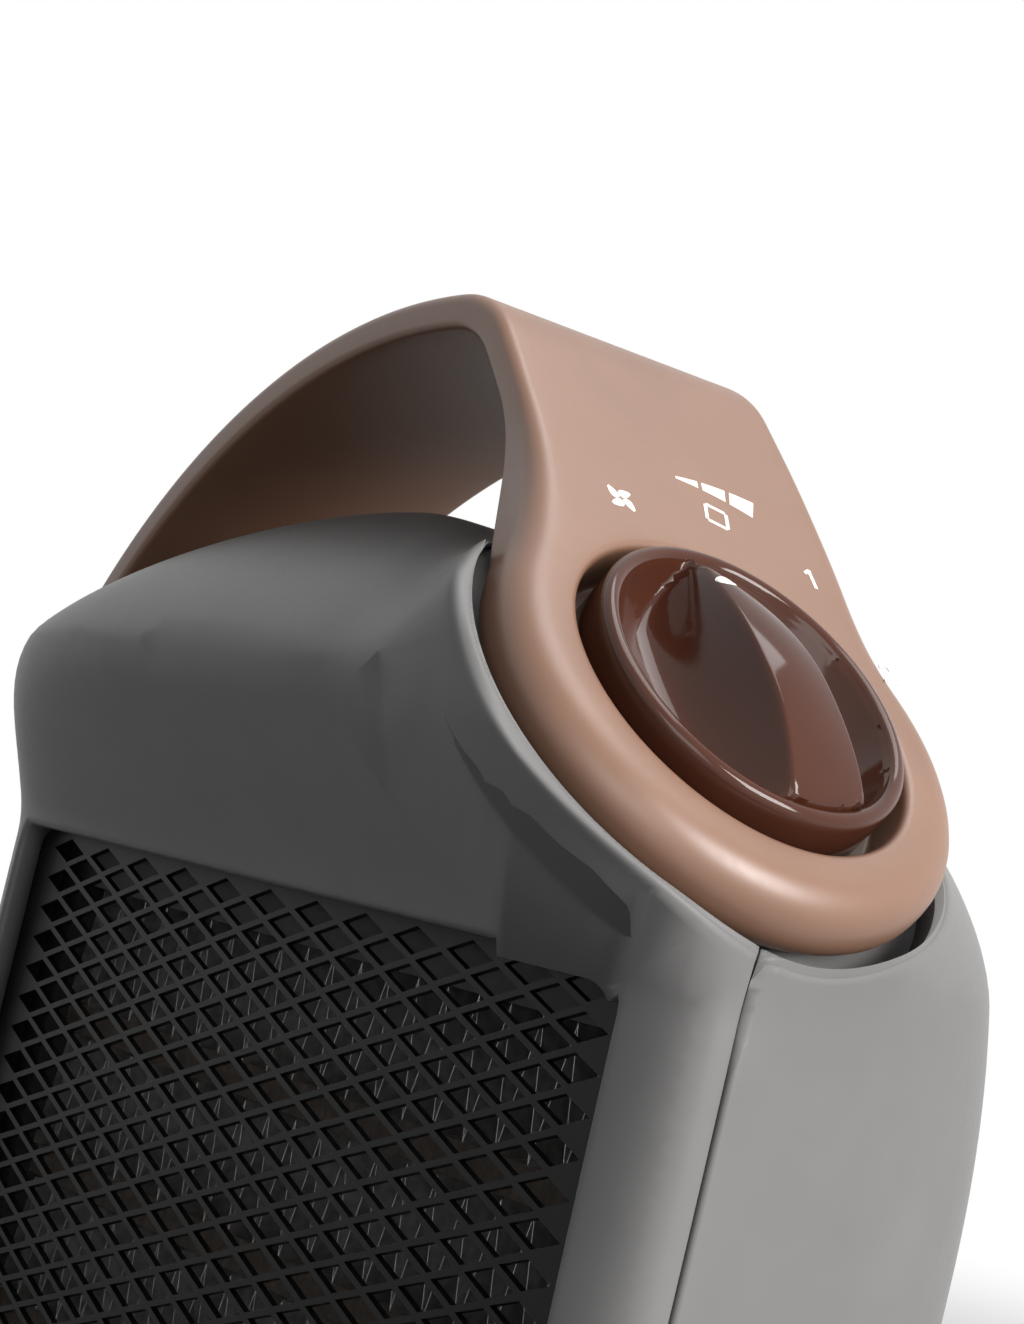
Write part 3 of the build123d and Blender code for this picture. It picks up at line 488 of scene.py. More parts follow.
def buildHandle():
    c, d = strapSet, dialSet
    outline = handleOutline(c["step"])
    normals, along, count = inwardNormals(outline), outline[:, 0], len(outline)
    hidden = along > strapEnd - 1.0  # the tail's end, inside the casing
    edge = c["padEdge"] + (c["strapEdge"] - c["padEdge"]) * smoothStep(along, *c["edgeSpan"])
    under = c["padUnder"] + (c["underEdge"] - c["padUnder"]) * smoothStep(along, *c["underSpan"])
    edge, under = np.where(hidden, c["tailEdge"], edge), np.where(hidden, c["tailEdge"], under)
    ring = np.array([(cos(a), sin(a)) for a in np.linspace(0, 2 * pi, 181)[:-1]])
    # outer face, with the well's rounded mouth
    points, drops = roundRings(outline, normals, edge, 9)
    mouth = [(c["wellEdge"] * (1 - cos(a)), c["wellEdge"] * (1 - sin(a))) for a in np.linspace(0, pi / 2, 6)]
    wellRings = [ring * (d["wellRadius"] + inset) for inset, _ in mouth]
    wellDrops = [np.full(len(ring), drop) for _, drop in mouth]
    grid = flatGrid(outline, outline + normals * (edge + 0.9)[:, None], c["topGrid"],
                    d["wellRadius"] + c["wellEdge"] + 1.0)
    flat, top = fillLoops([outline, wellRings[0]], np.vstack([points] + wellRings[1:] + [grid]))
    depth = np.concatenate([edge, wellDrops[0], drops] + wellDrops[1:] + [np.zeros(len(grid))])
    verts = list(onStrap(flat[:, 0], flat[:, 1], depth))
    faces = [tuple(f) for f in top]
    # side wall down to the under edge
    thick, previous = strapThickness(along), list(range(count))
    for share in (0.5, 1.0):
        level = edge + (thick - under - edge) * share
        previous = addRow(verts, faces, previous, onStrap(along, outline[:, 1], level))
    # underside, with the shaft's hole
    points, drops = roundRings(outline, normals, under, 8)
    grid = flatGrid(outline, outline + normals * (under + 1.0)[:, None], c["underGrid"], d["shaftHole"] + 1.5)
    flat, low = fillLoops([outline, ring * d["shaftHole"]], np.vstack([points, grid]))
    drop = np.concatenate([under, np.zeros(len(ring)), drops, np.zeros(len(grid))])
    number = np.concatenate([np.array(previous), np.arange(len(flat) - count) + len(verts)])
    verts += list(onStrap(flat[:, 0], flat[:, 1], strapThickness(flat[:, 0]) - drop)[count:])
    faces += [tuple(number[f][::-1]) for f in low]
    # well: wall, small corner round, floor and the shaft's hole
    previous, corner = list(range(count, count + len(ring))), c["wellCorner"]
    rows = [(d["wellRadius"] - corner * (1 - cos(a)), d["wellDepth"] - corner * (1 - sin(a)))
            for a in np.linspace(0, pi / 2, 5)]
    for radius, level in rows + [(d["shaftHole"], d["wellDepth"])]:
        previous = addRow(verts, faces, previous, onStrap(ring[:, 0] * radius, ring[:, 1] * radius, level))
    faces += strip(previous, list(number[count:count + len(ring)]))
    makePiece("handleStrap", verts, faces, finishes["bronze"], "casing", ["handle"])


buildHandle()
print("handle built")


# casing: its outer form as a field, negative inside, and two skins cut from it

bodySet = {
    "half": 103.0, "footHalf": 96.0, "crown": 210.0, "widest": 156.0, "sidePower": 1.7,
    "brow": 34.5, "browHeight": 181.0, "faceDepth": 15.0, "faceTop": 148.0, "frontPower": 1.3,
    "rear": 88.2, "rearFoot": 73.0, "rearWidest": 118.0, "rearPower": 2.2, "frontFull": 0.78,
    "rearFull": 0.69, "seam": -26.5, "halfGap": 0.2, "bottom": 16.0, "wall": 2.5, "scale": 60.0,
}
# the round seat under the pad: its middle to the back and up the strap and its radius, by depth
cradleSet = {
    "back": -12.0, "backLean": 0.40, "up": -4.0, "upLean": 0.20, "radius": 29.9, "reach": 56.0,
    "top": 5.0, "lipRound": 1.5, "blend": 24.0, "fadeHeight": 181.0, "fadeEase": 125.0,
    "range": 100.0, "core": (0.0, 30.0, 120.0), "coreSpan": (5.0, 190.0), "coreScale": 0.85,
    "clip": (103.2, 61.5), "clipBlend": 3.0,
}


def cradleAt(drop):
    # middle, up the strap and to the back, and radius of the seat's form at a depth below the dial
    c, deep = cradleSet, drop - cradleSet["top"]
    return c["up"] + c["upLean"] * deep, c["back"] + c["backLean"] * deep, \
        c["radius"] * (1 - (deep / c["reach"]) ** 2)


def dome(share, power):
    return np.maximum(0.0, 1 - np.clip(share, 0, 1) ** power) ** (1 / power)


def quarterTable(fullness):
    # one corner of the casing's outline from above, as a radius by angle
    t = np.linspace(0, 1, 900)
    u = 1 - t
    x = u ** 3 + 3 * u * u * t + 3 * fullness * u * t * t
    y = 3 * fullness * u * u * t + 3 * u * t * t + t ** 3
    return np.arctan2(y, x), np.hypot(x, y)


frontTable, rearTable = quarterTable(bodySet["frontFull"]), quarterTable(bodySet["rearFull"])


def sideReach(z, s=bodySet):
    high = s["half"] * dome((z - s["widest"]) / (s["crown"] - s["widest"]), s["sidePower"])
    low = s["footHalf"] + (s["half"] - s["footHalf"]) * np.sin(z / s["widest"] * pi / 2)
    return np.where(z > s["widest"], high, low)


def frontReach(z, s=bodySet):
    high = s["brow"] * dome((z - s["browHeight"]) / (s["crown"] - s["browHeight"]), s["frontPower"])
    low = s["faceDepth"] + (s["brow"] - s["faceDepth"]) * smoothStep(z, s["faceTop"], s["browHeight"])
    return np.where(z > s["browHeight"], high, low)


def rearReach(z, s=bodySet):
    high = s["rear"] * dome((z - s["rearWidest"]) / (s["crown"] - s["rearWidest"]), s["rearPower"])
    low = s["rearFoot"] + (s["rear"] - s["rearFoot"]) * np.sin(z / s["rearWidest"] * pi / 2)
    return np.where(z > s["rearWidest"], high, low)


def bodyLevel(p):
    # below 1 inside the plain casing, above 1 outside
    x, y, z = p[..., 0], p[..., 1] - bodySet["seam"], p[..., 2]
    front = y < 0
    across = np.abs(x) / np.maximum(sideReach(z), 1e-3)
    deep = np.abs(y) / np.maximum(np.where(front, frontReach(z), rearReach(z)), 1e-3)
    turn = np.arctan2(deep, across)
    edge = np.where(front, np.interp(turn, *frontTable), np.interp(turn, *rearTable))
    return np.where(z > bodySet["crown"] - 0.001, 9.0, np.hypot(across, deep) / edge)


def smoothMin(a, b, width):
    share = np.maximum(width - np.abs(a - b), 0) / width
    return np.minimum(a, b) - share ** 2 * width / 4


def castOut(origins, directions, low, high, inside):
    # distance along each line at which it leaves the form
    low, high = np.full(len(origins), float(low)), np.full(len(origins), float(high))
    for _ in range(22):
        middle = (low + high) / 2
        within = inside(origins + directions * middle[:, None])
        low, high = np.where(within, middle, low), np.where(within, high, middle)
    return low


def nearDial(p):
    return np.linalg.norm(p - dialCentre, axis=-1) < cradleSet["range"]


def casingField(p, near=None):
    # about millimetres outside the casing; near the dial the seat is blended in
    c = cradleSet
    field = (bodyLevel(p) - 1) * bodySet["scale"]
    near = nearDial(p) if near is None else near
    if not near.any():
        return field
    spot = p[near]
    ray = spot - np.array(c["core"])
    length = np.linalg.norm(ray, axis=1)
    cores = np.broadcast_to(np.array(c["core"]), spot.shape)
    reach = castOut(cores, ray / length[:, None], *c["coreSpan"], lambda q: bodyLevel(q) < 1)
    rel = spot - dialCentre
    up, back, drop = rel @ strapUp, rel[:, 1], -(rel @ dialAxis)
    middleUp, middleBack, radius = cradleAt(drop)
    side = np.hypot(up - middleUp, back - middleBack) - radius
    side += np.maximum(c["fadeHeight"] - spot[:, 2], 0) ** 2 / c["fadeEase"]
    whole = smoothMin((length - reach) * c["coreScale"], side, c["blend"])
    whole = -smoothMin(-whole, drop - c["top"], c["lipRound"])
    for past in (spot[:, 0] - c["clip"][0], -spot[:, 1] - c["clip"][1]):
        whole = -smoothMin(-whole, -past, c["clipBlend"])
    field[near] = whole
    return field


def insideCasing(p):
    return casingField(p) < 0


def fieldNormal(p, step=0.15):
    near = nearDial(p)
    slope = [casingField(p + axis, near) - casingField(p - axis, near) for axis in np.eye(3) * step]
    slope = np.stack(slope, -1)
    return slope / np.maximum(np.linalg.norm(slope, axis=-1, keepdims=True), 1e-9)


def edgeDrop(distance, radius):
    # how far a rounded edge has dropped at a distance from its wall
    share = np.clip(1 - distance / radius, 0, 1)
    return radius * (1 - np.sqrt(1 - share ** 2))


def roundedRect(x, y, halfX, halfY, corner):
    # distance outside a rounded rectangle about zero
    a, b = np.abs(x) - halfX + corner, np.abs(y) - halfY + corner
    return np.hypot(np.maximum(a, 0), np.maximum(b, 0)) + np.minimum(np.maximum(a, b), 0) - corner


def rectLoop(halfX, halfY, corner, step):
    turn = np.linspace(0, pi / 2, 12)
    loop = []
    for k, (sx, sy) in enumerate(((1, 1), (-1, 1), (-1, -1), (1, -1))):
        swing = turn + k * pi / 2
        loop.append(np.stack([sx * (halfX - corner) + corner * np.cos(swing),
                              sy * (halfY - corner) + corner * np.sin(swing)], 1))
    return resample(np.vstack(loop), step, closed=True)


skinSet = {
    # each skin is spread out flat as seen from a place inside the casing
    "eyes": {"front": (0.0, 45.0, 120.0), "rear": (0.0, -85.0, 105.0)}, "grid": 1.65, "chainStep": 0.9,
    "seamRound": 0.8, "footRound": 0.6, "windowRound": 1.3, "recessRound": 1.3, "slotRound": 0.7,
    "ventRound": 0.7, "padEase": 2.9, "strapEase": 1.1, "easeSpan": (18.0, 36.0), "floorDepth": 14.2,
    "floorWall": 1.2, "trayWall": 0.4, "window": (90.0, 56.0, 4.0), "windowMiddle": 94.0,
    "revealBack": -32.6, "flange": 2.0, "flangeFade": 9.0,
    "slot": (21.4, 3.7, 1.2), "slotMiddle": (0.4, 2.75), "slotDepth": 5.0, "slotEnd": 1.12,
    "slotStart": 0.7, "slotRegion": (-50.0, 150.0),
    "vent": (16.0, 2.25), "ventPitch": (37.0, 9.0), "ventRows": 5, "ventMiddle": 94.0, "ventStep": 1.25,
    "screws": ((-38.0, 184.0), (9.5, 190.0), (-72.0, 26.0), (72.0, 26.0)), "screwHole": 3.7,
    "screwFloor": -18.4, "gland": (25.0, 6.1), "shaftHole": 4.2,
}


def wallEase(q):
    # gap between the pad or strap and the recess's wall
    s = skinSet
    return s["padEase"] + (s["strapEase"] - s["padEase"]) * smoothStep(q, *s["easeSpan"])


def padSide(q, y):
    # distance outside the recess's round part and its flare under the strap
    ring = np.hypot(q, y) - dialSet["padRadius"] - skinSet["padEase"]
    slopeF = (frontHalf(q + 0.1) - frontHalf(q - 0.1)) / 0.2
    slopeB = (backHalf(q + 0.1) - backHalf(q - 0.1)) / 0.2
    front = (-y - frontHalf(q)) / np.sqrt(1 + slopeF ** 2) - wallEase(q)
    back = (y - backHalf(q)) / np.sqrt(1 + slopeB ** 2) - wallEase(q)
    join = np.where(y < 0, strapSet["frontJoin"], strapSet["backJoin"])
    return np.where(q < join, ring, np.where(y < 0, front, back))


def recessEnd():
    # where the recess's floor comes out through the casing under the strap, for depths y
    ys = np.linspace(-36, 40, 77)
    base = onDial(np.zeros_like(ys), ys, -13.0)
    return ys, castOut(base, np.broadcast_to(strapUp, base.shape), -4, 48, insideCasing)


recessY, recessQ = recessEnd()


def recessGap(p):
    rel = p - dialCentre
    q, y, drop = rel @ strapUp, rel[..., 1], -(rel @ dialAxis)
    gap = np.maximum(padSide(q, y), (q - np.interp(y, recessY, recessQ)) * 0.8)
    return np.where((drop < 36) & (drop > -12), gap, 99.0)


def recessRound(p):
    return skinSet["recessRound"] * (1 - 0.8 * smoothStep((p - dialCentre) @ strapUp, 4, 20))


def archTurn(p):
    # angle from the strap's crest, down to the left
    c = strapSet
    return np.arctan2(c["crestX"] - p[..., 0], p[..., 2] - c["crestZ"] + c["archRadius"])


def slotGap(p):
    c, s = strapSet, skinSet
    depth = c["archRadius"] - np.hypot(p[..., 0] - c["crestX"], p[..., 2] - c["crestZ"] + c["archRadius"])
    gap = roundedRect(p[..., 1] - dialSet["y"] - s["slotMiddle"][0], depth - s["slotMiddle"][1], *s["slot"])
    gap = np.maximum(gap, (archTurn(p) - s["slotEnd"]) * c["archRadius"])
    return np.where((p[..., 0] < s["slotRegion"][0]) & (p[..., 2] > s["slotRegion"][1]), gap, 99.0)


def windowGap(p):
    gap = roundedRect(p[..., 0], p[..., 2] - skinSet["windowMiddle"], *skinSet["window"])
    return np.where(p[..., 1] < bodySet["seam"] - 3, gap, 99.0)


def ventGap(p):
    s = skinSet
    col = np.clip(np.round(p[..., 0] / s["ventPitch"][0]), -1, 1) * s["ventPitch"][0]
    row = np.round((p[..., 2] - s["ventMiddle"]) / s["ventPitch"][1])
    row = np.clip(row, -s["ventRows"], s["ventRows"])
    x = np.maximum(np.abs(p[..., 0] - col) - s["vent"][0] + s["vent"][1], 0)
    gap = np.hypot(x, p[..., 2] - s["ventMiddle"] - row * s["ventPitch"][1]) - s["vent"][1]
    return np.where(p[..., 1] > 0, gap, 99.0)


def holesGap(p):
    s = skinSet
    gaps = [np.hypot(p[..., 0] - x, p[..., 2] - z) - s["screwHole"] for x, z in s["screws"]]
    gaps.append(np.hypot(p[..., 0], p[..., 2] - s["gland"][0]) - s["gland"][1])
    return np.where(p[..., 1] > bodySet["seam"] + 5, np.min(gaps, axis=0), 99.0)


def seamGap(side):
    return lambda p: (p[..., 1] - bodySet["seam"]) * side - bodySet["halfGap"]


def footGap(p):
    return p[..., 2] - bodySet["bottom"]


def firstIn(origins, direction, stop, steps=90):
    # walks each line from outside and gives the first place at the casing's face
    found, done = np.full(len(origins), float(stop)), np.zeros(len(origins), bool)
    spots = np.linspace(0.0, stop, steps)
    for before, after in zip(spots, spots[1:]):
        hit = ~done & (casingField(origins + direction * after) < 0)
        if hit.any():
            part = origins[hit]
            back = castOut(part + direction * after, np.broadcast_to(-direction, part.shape), 0,
                           after - before, insideCasing)
            found[hit] = after - back
            done |= hit
    return origins + direction * found[:, None], done


def eyeOf(side):
    return np.array(skinSet["eyes"]["front" if side < 0 else "rear"])


def eyeMap(p, eye, side):
    # places spread out flat by their direction from the eye, in hundredths of a radian
    ray = p - eye
    flat = np.hypot(ray[..., 0], ray[..., 2])
    theta = np.arctan2(flat, ray[..., 1] * side)
    across = np.stack([-ray[..., 0] * side, ray[..., 2]], -1)
    return across / np.maximum(flat, 1e-9)[..., None] * (theta * 100)[..., None]


def eyeRay(flat, side):
    theta = np.linalg.norm(flat, axis=-1) / 100
    unit = flat / np.maximum(np.linalg.norm(flat, axis=-1, keepdims=True), 1e-9)
    return np.stack([-unit[:, 0] * np.sin(theta) * side, np.cos(theta) * side, unit[:, 1] * np.sin(theta)], -1)


def fromEye(directions, eye):
    origins = np.broadcast_to(eye, directions.shape)
    return origins + directions * castOut(origins, directions, 20, 330, insideCasing)[:, None]


def fromCore(core, lines, near, far):
    # the casing's face along lines from one place
    cores = np.broadcast_to(core, lines.shape)
    return cores + lines * castOut(cores, lines, near, far, insideCasing)[:, None]


def halfSeam(side):
    return bodySet["seam"] + side * bodySet["halfGap"]


def seamChain(side, gaps):
    # the seam's edge of one half, from low on the right over the crown to low on the left
    angles = np.linspace(-1.4, pi + 1.4, 3000)
    lines = np.stack([np.cos(angles), np.zeros_like(angles), np.sin(angles)], -1)
    points = fromCore(np.array([0.0, halfSeam(side), 110.0]), lines, 10, 190)
    keep = points[:, 2] > bodySet["bottom"]
    for gap in gaps:
        keep &= gap(points) > 0
    runs = np.split(np.arange(len(points))[keep], np.where(np.diff(np.where(keep)[0]) > 1)[0] + 1)
    return [resample(points[run], skinSet["chainStep"]) for run in runs if len(run) > 3]


def footChain(side):
    # the lower edge of one half, from the left round to the right
    angles = np.linspace(pi, 0, 1200)
    lines = np.stack([np.cos(angles), side * np.sin(angles), np.zeros_like(angles)], -1)
    return resample(fromCore(np.array([0.0, halfSeam(side), bodySet["bottom"]]), lines, 2, 190), 2.0)


def recessChain(side):
    # the recess's edge on one half, from the seam below the pad to the seam under the strap
    radius, edgeY = dialSet["padRadius"] + skinSet["padEase"], halfSeam(side) - dialSet["y"]
    join = strapSet["frontJoin" if side < 0 else "backJoin"]
    low = np.arctan2(edgeY, -np.sqrt(radius ** 2 - edgeY ** 2)) + (2 * pi if side > 0 else 0)
    swing = np.linspace(low, side * np.arccos(join / radius), 240)
    qs = np.linspace(join, 40, 120)[1:]
    halfs = frontHalf(qs) if side < 0 else backHalf(qs)
    flare = side * (halfs + wallEase(qs) * np.sqrt(1 + np.gradient(halfs, qs) ** 2))
    path = np.vstack([np.stack([radius * np.cos(swing), radius * np.sin(swing)], 1), np.stack([qs, flare], 1)])
    past = path[:, 0] > np.interp(path[:, 1], recessY, recessQ)
    path = path[:np.argmax(past)] if past.any() else path
    end = np.linspace(path[-1, 1], edgeY, 80)[1:]
    path = np.vstack([path, np.stack([np.interp(end, recessY, recessQ), end], 1)])
    path = resample(path, skinSet["chainStep"])
    points, found = firstIn(onDial(path[:, 0], path[:, 1], 12.0), -dialAxis, 40.0)
    if not found.all():
        print("  note: recess edge misses the casing at", int((~found).sum()), "points")
    return points


def slotChain(side):
    # the edge of the slot for the strap's tail on one half, from its inner face to its outer face
    c, s, eye = strapSet, skinSet, eyeOf(side)
    middle, (halfY, halfDepth, corner) = s["slotMiddle"], s["slot"]
    edgeY = halfSeam(side) - dialSet["y"]
    loop = rectLoop(halfY, halfDepth, corner, 0.2) + np.array(middle)
    loop = loop[(loop[:, 0] - edgeY) * side > 0]
    loop = loop[np.argsort(np.arctan2(loop[:, 1] - middle[1], (loop[:, 0] - edgeY) * side + 1e-6))[::-1]]
    loop = np.vstack([[edgeY, middle[1] + halfDepth], loop, [edgeY, middle[1] - halfDepth]])
    loop = resample(loop, s["chainStep"])
    radius = c["archRadius"] - loop[:, 1]
    low, high = np.full(len(loop), s["slotEnd"]), np.full(len(loop), s["slotStart"])

    def spot(turn):
        return np.stack([c["crestX"] - radius * np.sin(turn), dialSet["y"] + loop[:, 0],
                         c["crestZ"] - c["archRadius"] + radius * np.cos(turn)], -1)
    for _ in range(24):
        middle = (low + high) / 2
        within = insideCasing(spot(middle))
        low, high = np.where(within, middle, low), np.where(within, high, middle)
    ray = spot(low) - eye
    return fromEye(ray / np.linalg.norm(ray, axis=1, keepdims=True), eye)


def holeChains(side):
    # kinds and closed edges: the window, or the intake slots, screw holes and cord hole
    s = skinSet
    if side < 0:
        flats = [("window", rectLoop(*s["window"], 1.0) + np.array([0.0, s["windowMiddle"]]))]
    else:
        turn = np.linspace(0, 2 * pi, 27)[:-1]
        ring = np.stack([np.cos(turn), np.sin(turn)], 1)
        vent = rectLoop(s["vent"][0], s["vent"][1], s["vent"][1] - 0.01, s["ventStep"])
        flats = [("vents", vent + np.array([col * s["ventPitch"][0], s["ventMiddle"] + row * s["ventPitch"][1]]))
                 for col in (-1, 0, 1) for row in range(-s["ventRows"], s["ventRows"] + 1)]
        flats += [("screw", ring * s["screwHole"] + np.array(spot)) for spot in s["screws"]]
        flats.append(("gland", ring * s["gland"][1] + np.array([0.0, s["gland"][0]])))
    chains = []
    for kind, flat in flats:
        core = np.stack([flat[:, 0], np.full(len(flat), bodySet["seam"]), flat[:, 1]], 1)
        chains.append((kind, fromCore(core, np.broadcast_to(depthAxis * side, core.shape), 1, 120)))
    return chains


def outwardOf(chain, closed, normals, gap):
    # unit vectors along the surface, square to an edge and away from its opening
    along = np.roll(chain, -1, 0) - np.roll(chain, 1, 0) if closed else np.gradient(chain, axis=0)
    outward = np.cross(along, normals)
    outward /= np.maximum(np.linalg.norm(outward, axis=1, keepdims=True), 1e-9)
    flip = gap(chain + outward * 0.5) < gap(chain - outward * 0.5)
    outward[flip] *= -1
    return outward


def archInward(p):
    turn = archTurn(p)
    return np.stack([-np.cos(turn), np.zeros_like(turn), -np.sin(turn)], -1)


def flatInward(normals, axis):
    inward = -normals.copy()
    inward[..., axis] = 0
    return inward / np.maximum(np.linalg.norm(inward, axis=-1, keepdims=True), 1e-9)


def lipRows():
    # rows on both sides of the outer edge of the seat that the pad's front sits in
    rows, swing = [], np.linspace(radians(-165), radians(-52), 130)
    tops = [(cradleSet["top"] + 0.05, -d) for d in (2.6, 1.9, 1.35, 0.9, 0.55, 0.25)]
    for drop, inset in tops + [(cradleSet["top"] + d, 0.0) for d in (0.3, 0.7, 1.2, 1.9, 2.8, 4.0, 5.6, 7.6, 10)]:
        middleUp, middleBack, radius = cradleAt(drop)
        radius += inset
        rows.append(onDial(middleUp + radius * np.cos(swing), middleBack + radius * np.sin(swing), -drop))
    return np.vstack(rows)


def always(vector):
    return lambda p, n: np.broadcast_to(vector, p.shape)


def skinEdges(side):
    # name: gap function, rounding radius, direction in which the edge drops
    s = skinSet
    edges = {
        "seam": (seamGap(side), lambda p: s["seamRound"], lambda p, n: flatInward(n, 1)),
        "foot": (footGap, lambda p: s["footRound"], lambda p, n: flatInward(n, 2)),
        "recess": (recessGap, recessRound, always(-dialAxis)),
        "slot": (slotGap, lambda p: s["slotRound"], lambda p, n: archInward(p)),
    }
    if side < 0:
        edges["window"] = (windowGap, lambda p: s["windowRound"], always(depthAxis))
    else:
        edges["vents"] = (ventGap, lambda p: s["ventRound"], always(-depthAxis))
        edges["holes"] = (holesGap, lambda p: s["ventRound"], always(-depthAxis))
    return edges


def dropped(p, normals, edges):
    # surface points moved in where rounded edges fall away
    moved = p.copy()
    for gap, radius, inward in edges.values():
        fall = edgeDrop(gap(p), radius(p))
        if (fall > 0).any():
            way = inward(p, normals)
            square = np.clip(-(way * normals).sum(-1), 0.45, 1)
            moved += way * (fall / square)[..., None]
    return moved


smallEdges = ("vents", "holes", "foot", "slot")  # fewer rows beside these


def outerLoop(side):
    # one half's outline as joined runs, with the kind of edge at each point
    runs = seamChain(side, [recessGap, slotGap])
    parts = [("seam", runs[0]), ("recess", recessChain(side)), ("seam", runs[1]),
             ("slot", slotChain(side)), ("seam", runs[2]), ("foot", footChain(side))]
    loop, kinds = [], []
    for kind, chain in parts:
        for point in chain:
            if not loop or np.linalg.norm(point - loop[-1]) > 0.25:
                loop.append(point)
                kinds.append(kind)
    while np.linalg.norm(loop[0] - loop[-1]) < 0.25:
        loop.pop()
        kinds.pop()
    return parts, np.array(loop), np.array(kinds)


def skinPoints(side, eye, edges, parts, holes, flatLoops):
    # flat places of the points inside one half: rows beside its edges, and a grid between them
    todo = [(kind, chain, False) for kind, chain in parts]
    todo += [(kind if kind in edges else "holes", chain, True) for kind, chain in holes]
    flatRows = []
    for kind, chain, closed in todo:
        gap, radius, _ = edges[kind]
        outward = outwardOf(chain, closed, fieldNormal(chain), gap)
        size = np.broadcast_to(radius(chain), (len(chain),))
        angles = (30, 60, 90) if kind in ("vents", "holes") else (15, 30, 45, 60, 75, 90)
        steps = [size * (1 - cos(radians(a))) for a in angles]
        steps += [size + 0.7] if kind in smallEdges else [size + 0.8, size + 2.2]
        for step in steps:
            flat = eyeMap(chain + outward * step[:, None], eye, side)
            base = fromEye(eyeRay(flat, side), eye)
            keep = np.ones(len(flat), bool)
            for other, (gap, radius, _) in edges.items():
                keep &= gap(base) > (0.01 if other == kind else 0.28)
            flatRows.append(flat[keep])
    lip = np.full((1, 2), 900.0)
    if side < 0:
        lip = eyeMap(lipRows(), eye, side)
        base = fromEye(eyeRay(lip, side), eye)
        lip = lip[(recessGap(base) > 0.35) & (edges["seam"][0](base) > 0.5)]
        flatRows.append(lip)
    flatRows = np.vstack(flatRows)
    flatRows = flatRows[insideLoops(flatRows, flatLoops)]
    grid = hexGrid(flatLoops[0].min(0), flatLoops[0].max(0), skinSet["grid"])
    grid = grid[insideLoops(grid, flatLoops)]
    base = fromEye(eyeRay(grid, side), eye)
    keep = nearest(grid, lip)[0] > 0.6
    for kind, (gap, radius, _) in edges.items():
        keep &= gap(base) > radius(base) + (1.3 if kind in smallEdges else 3.0)
    return np.vstack([flatRows, grid[keep]])


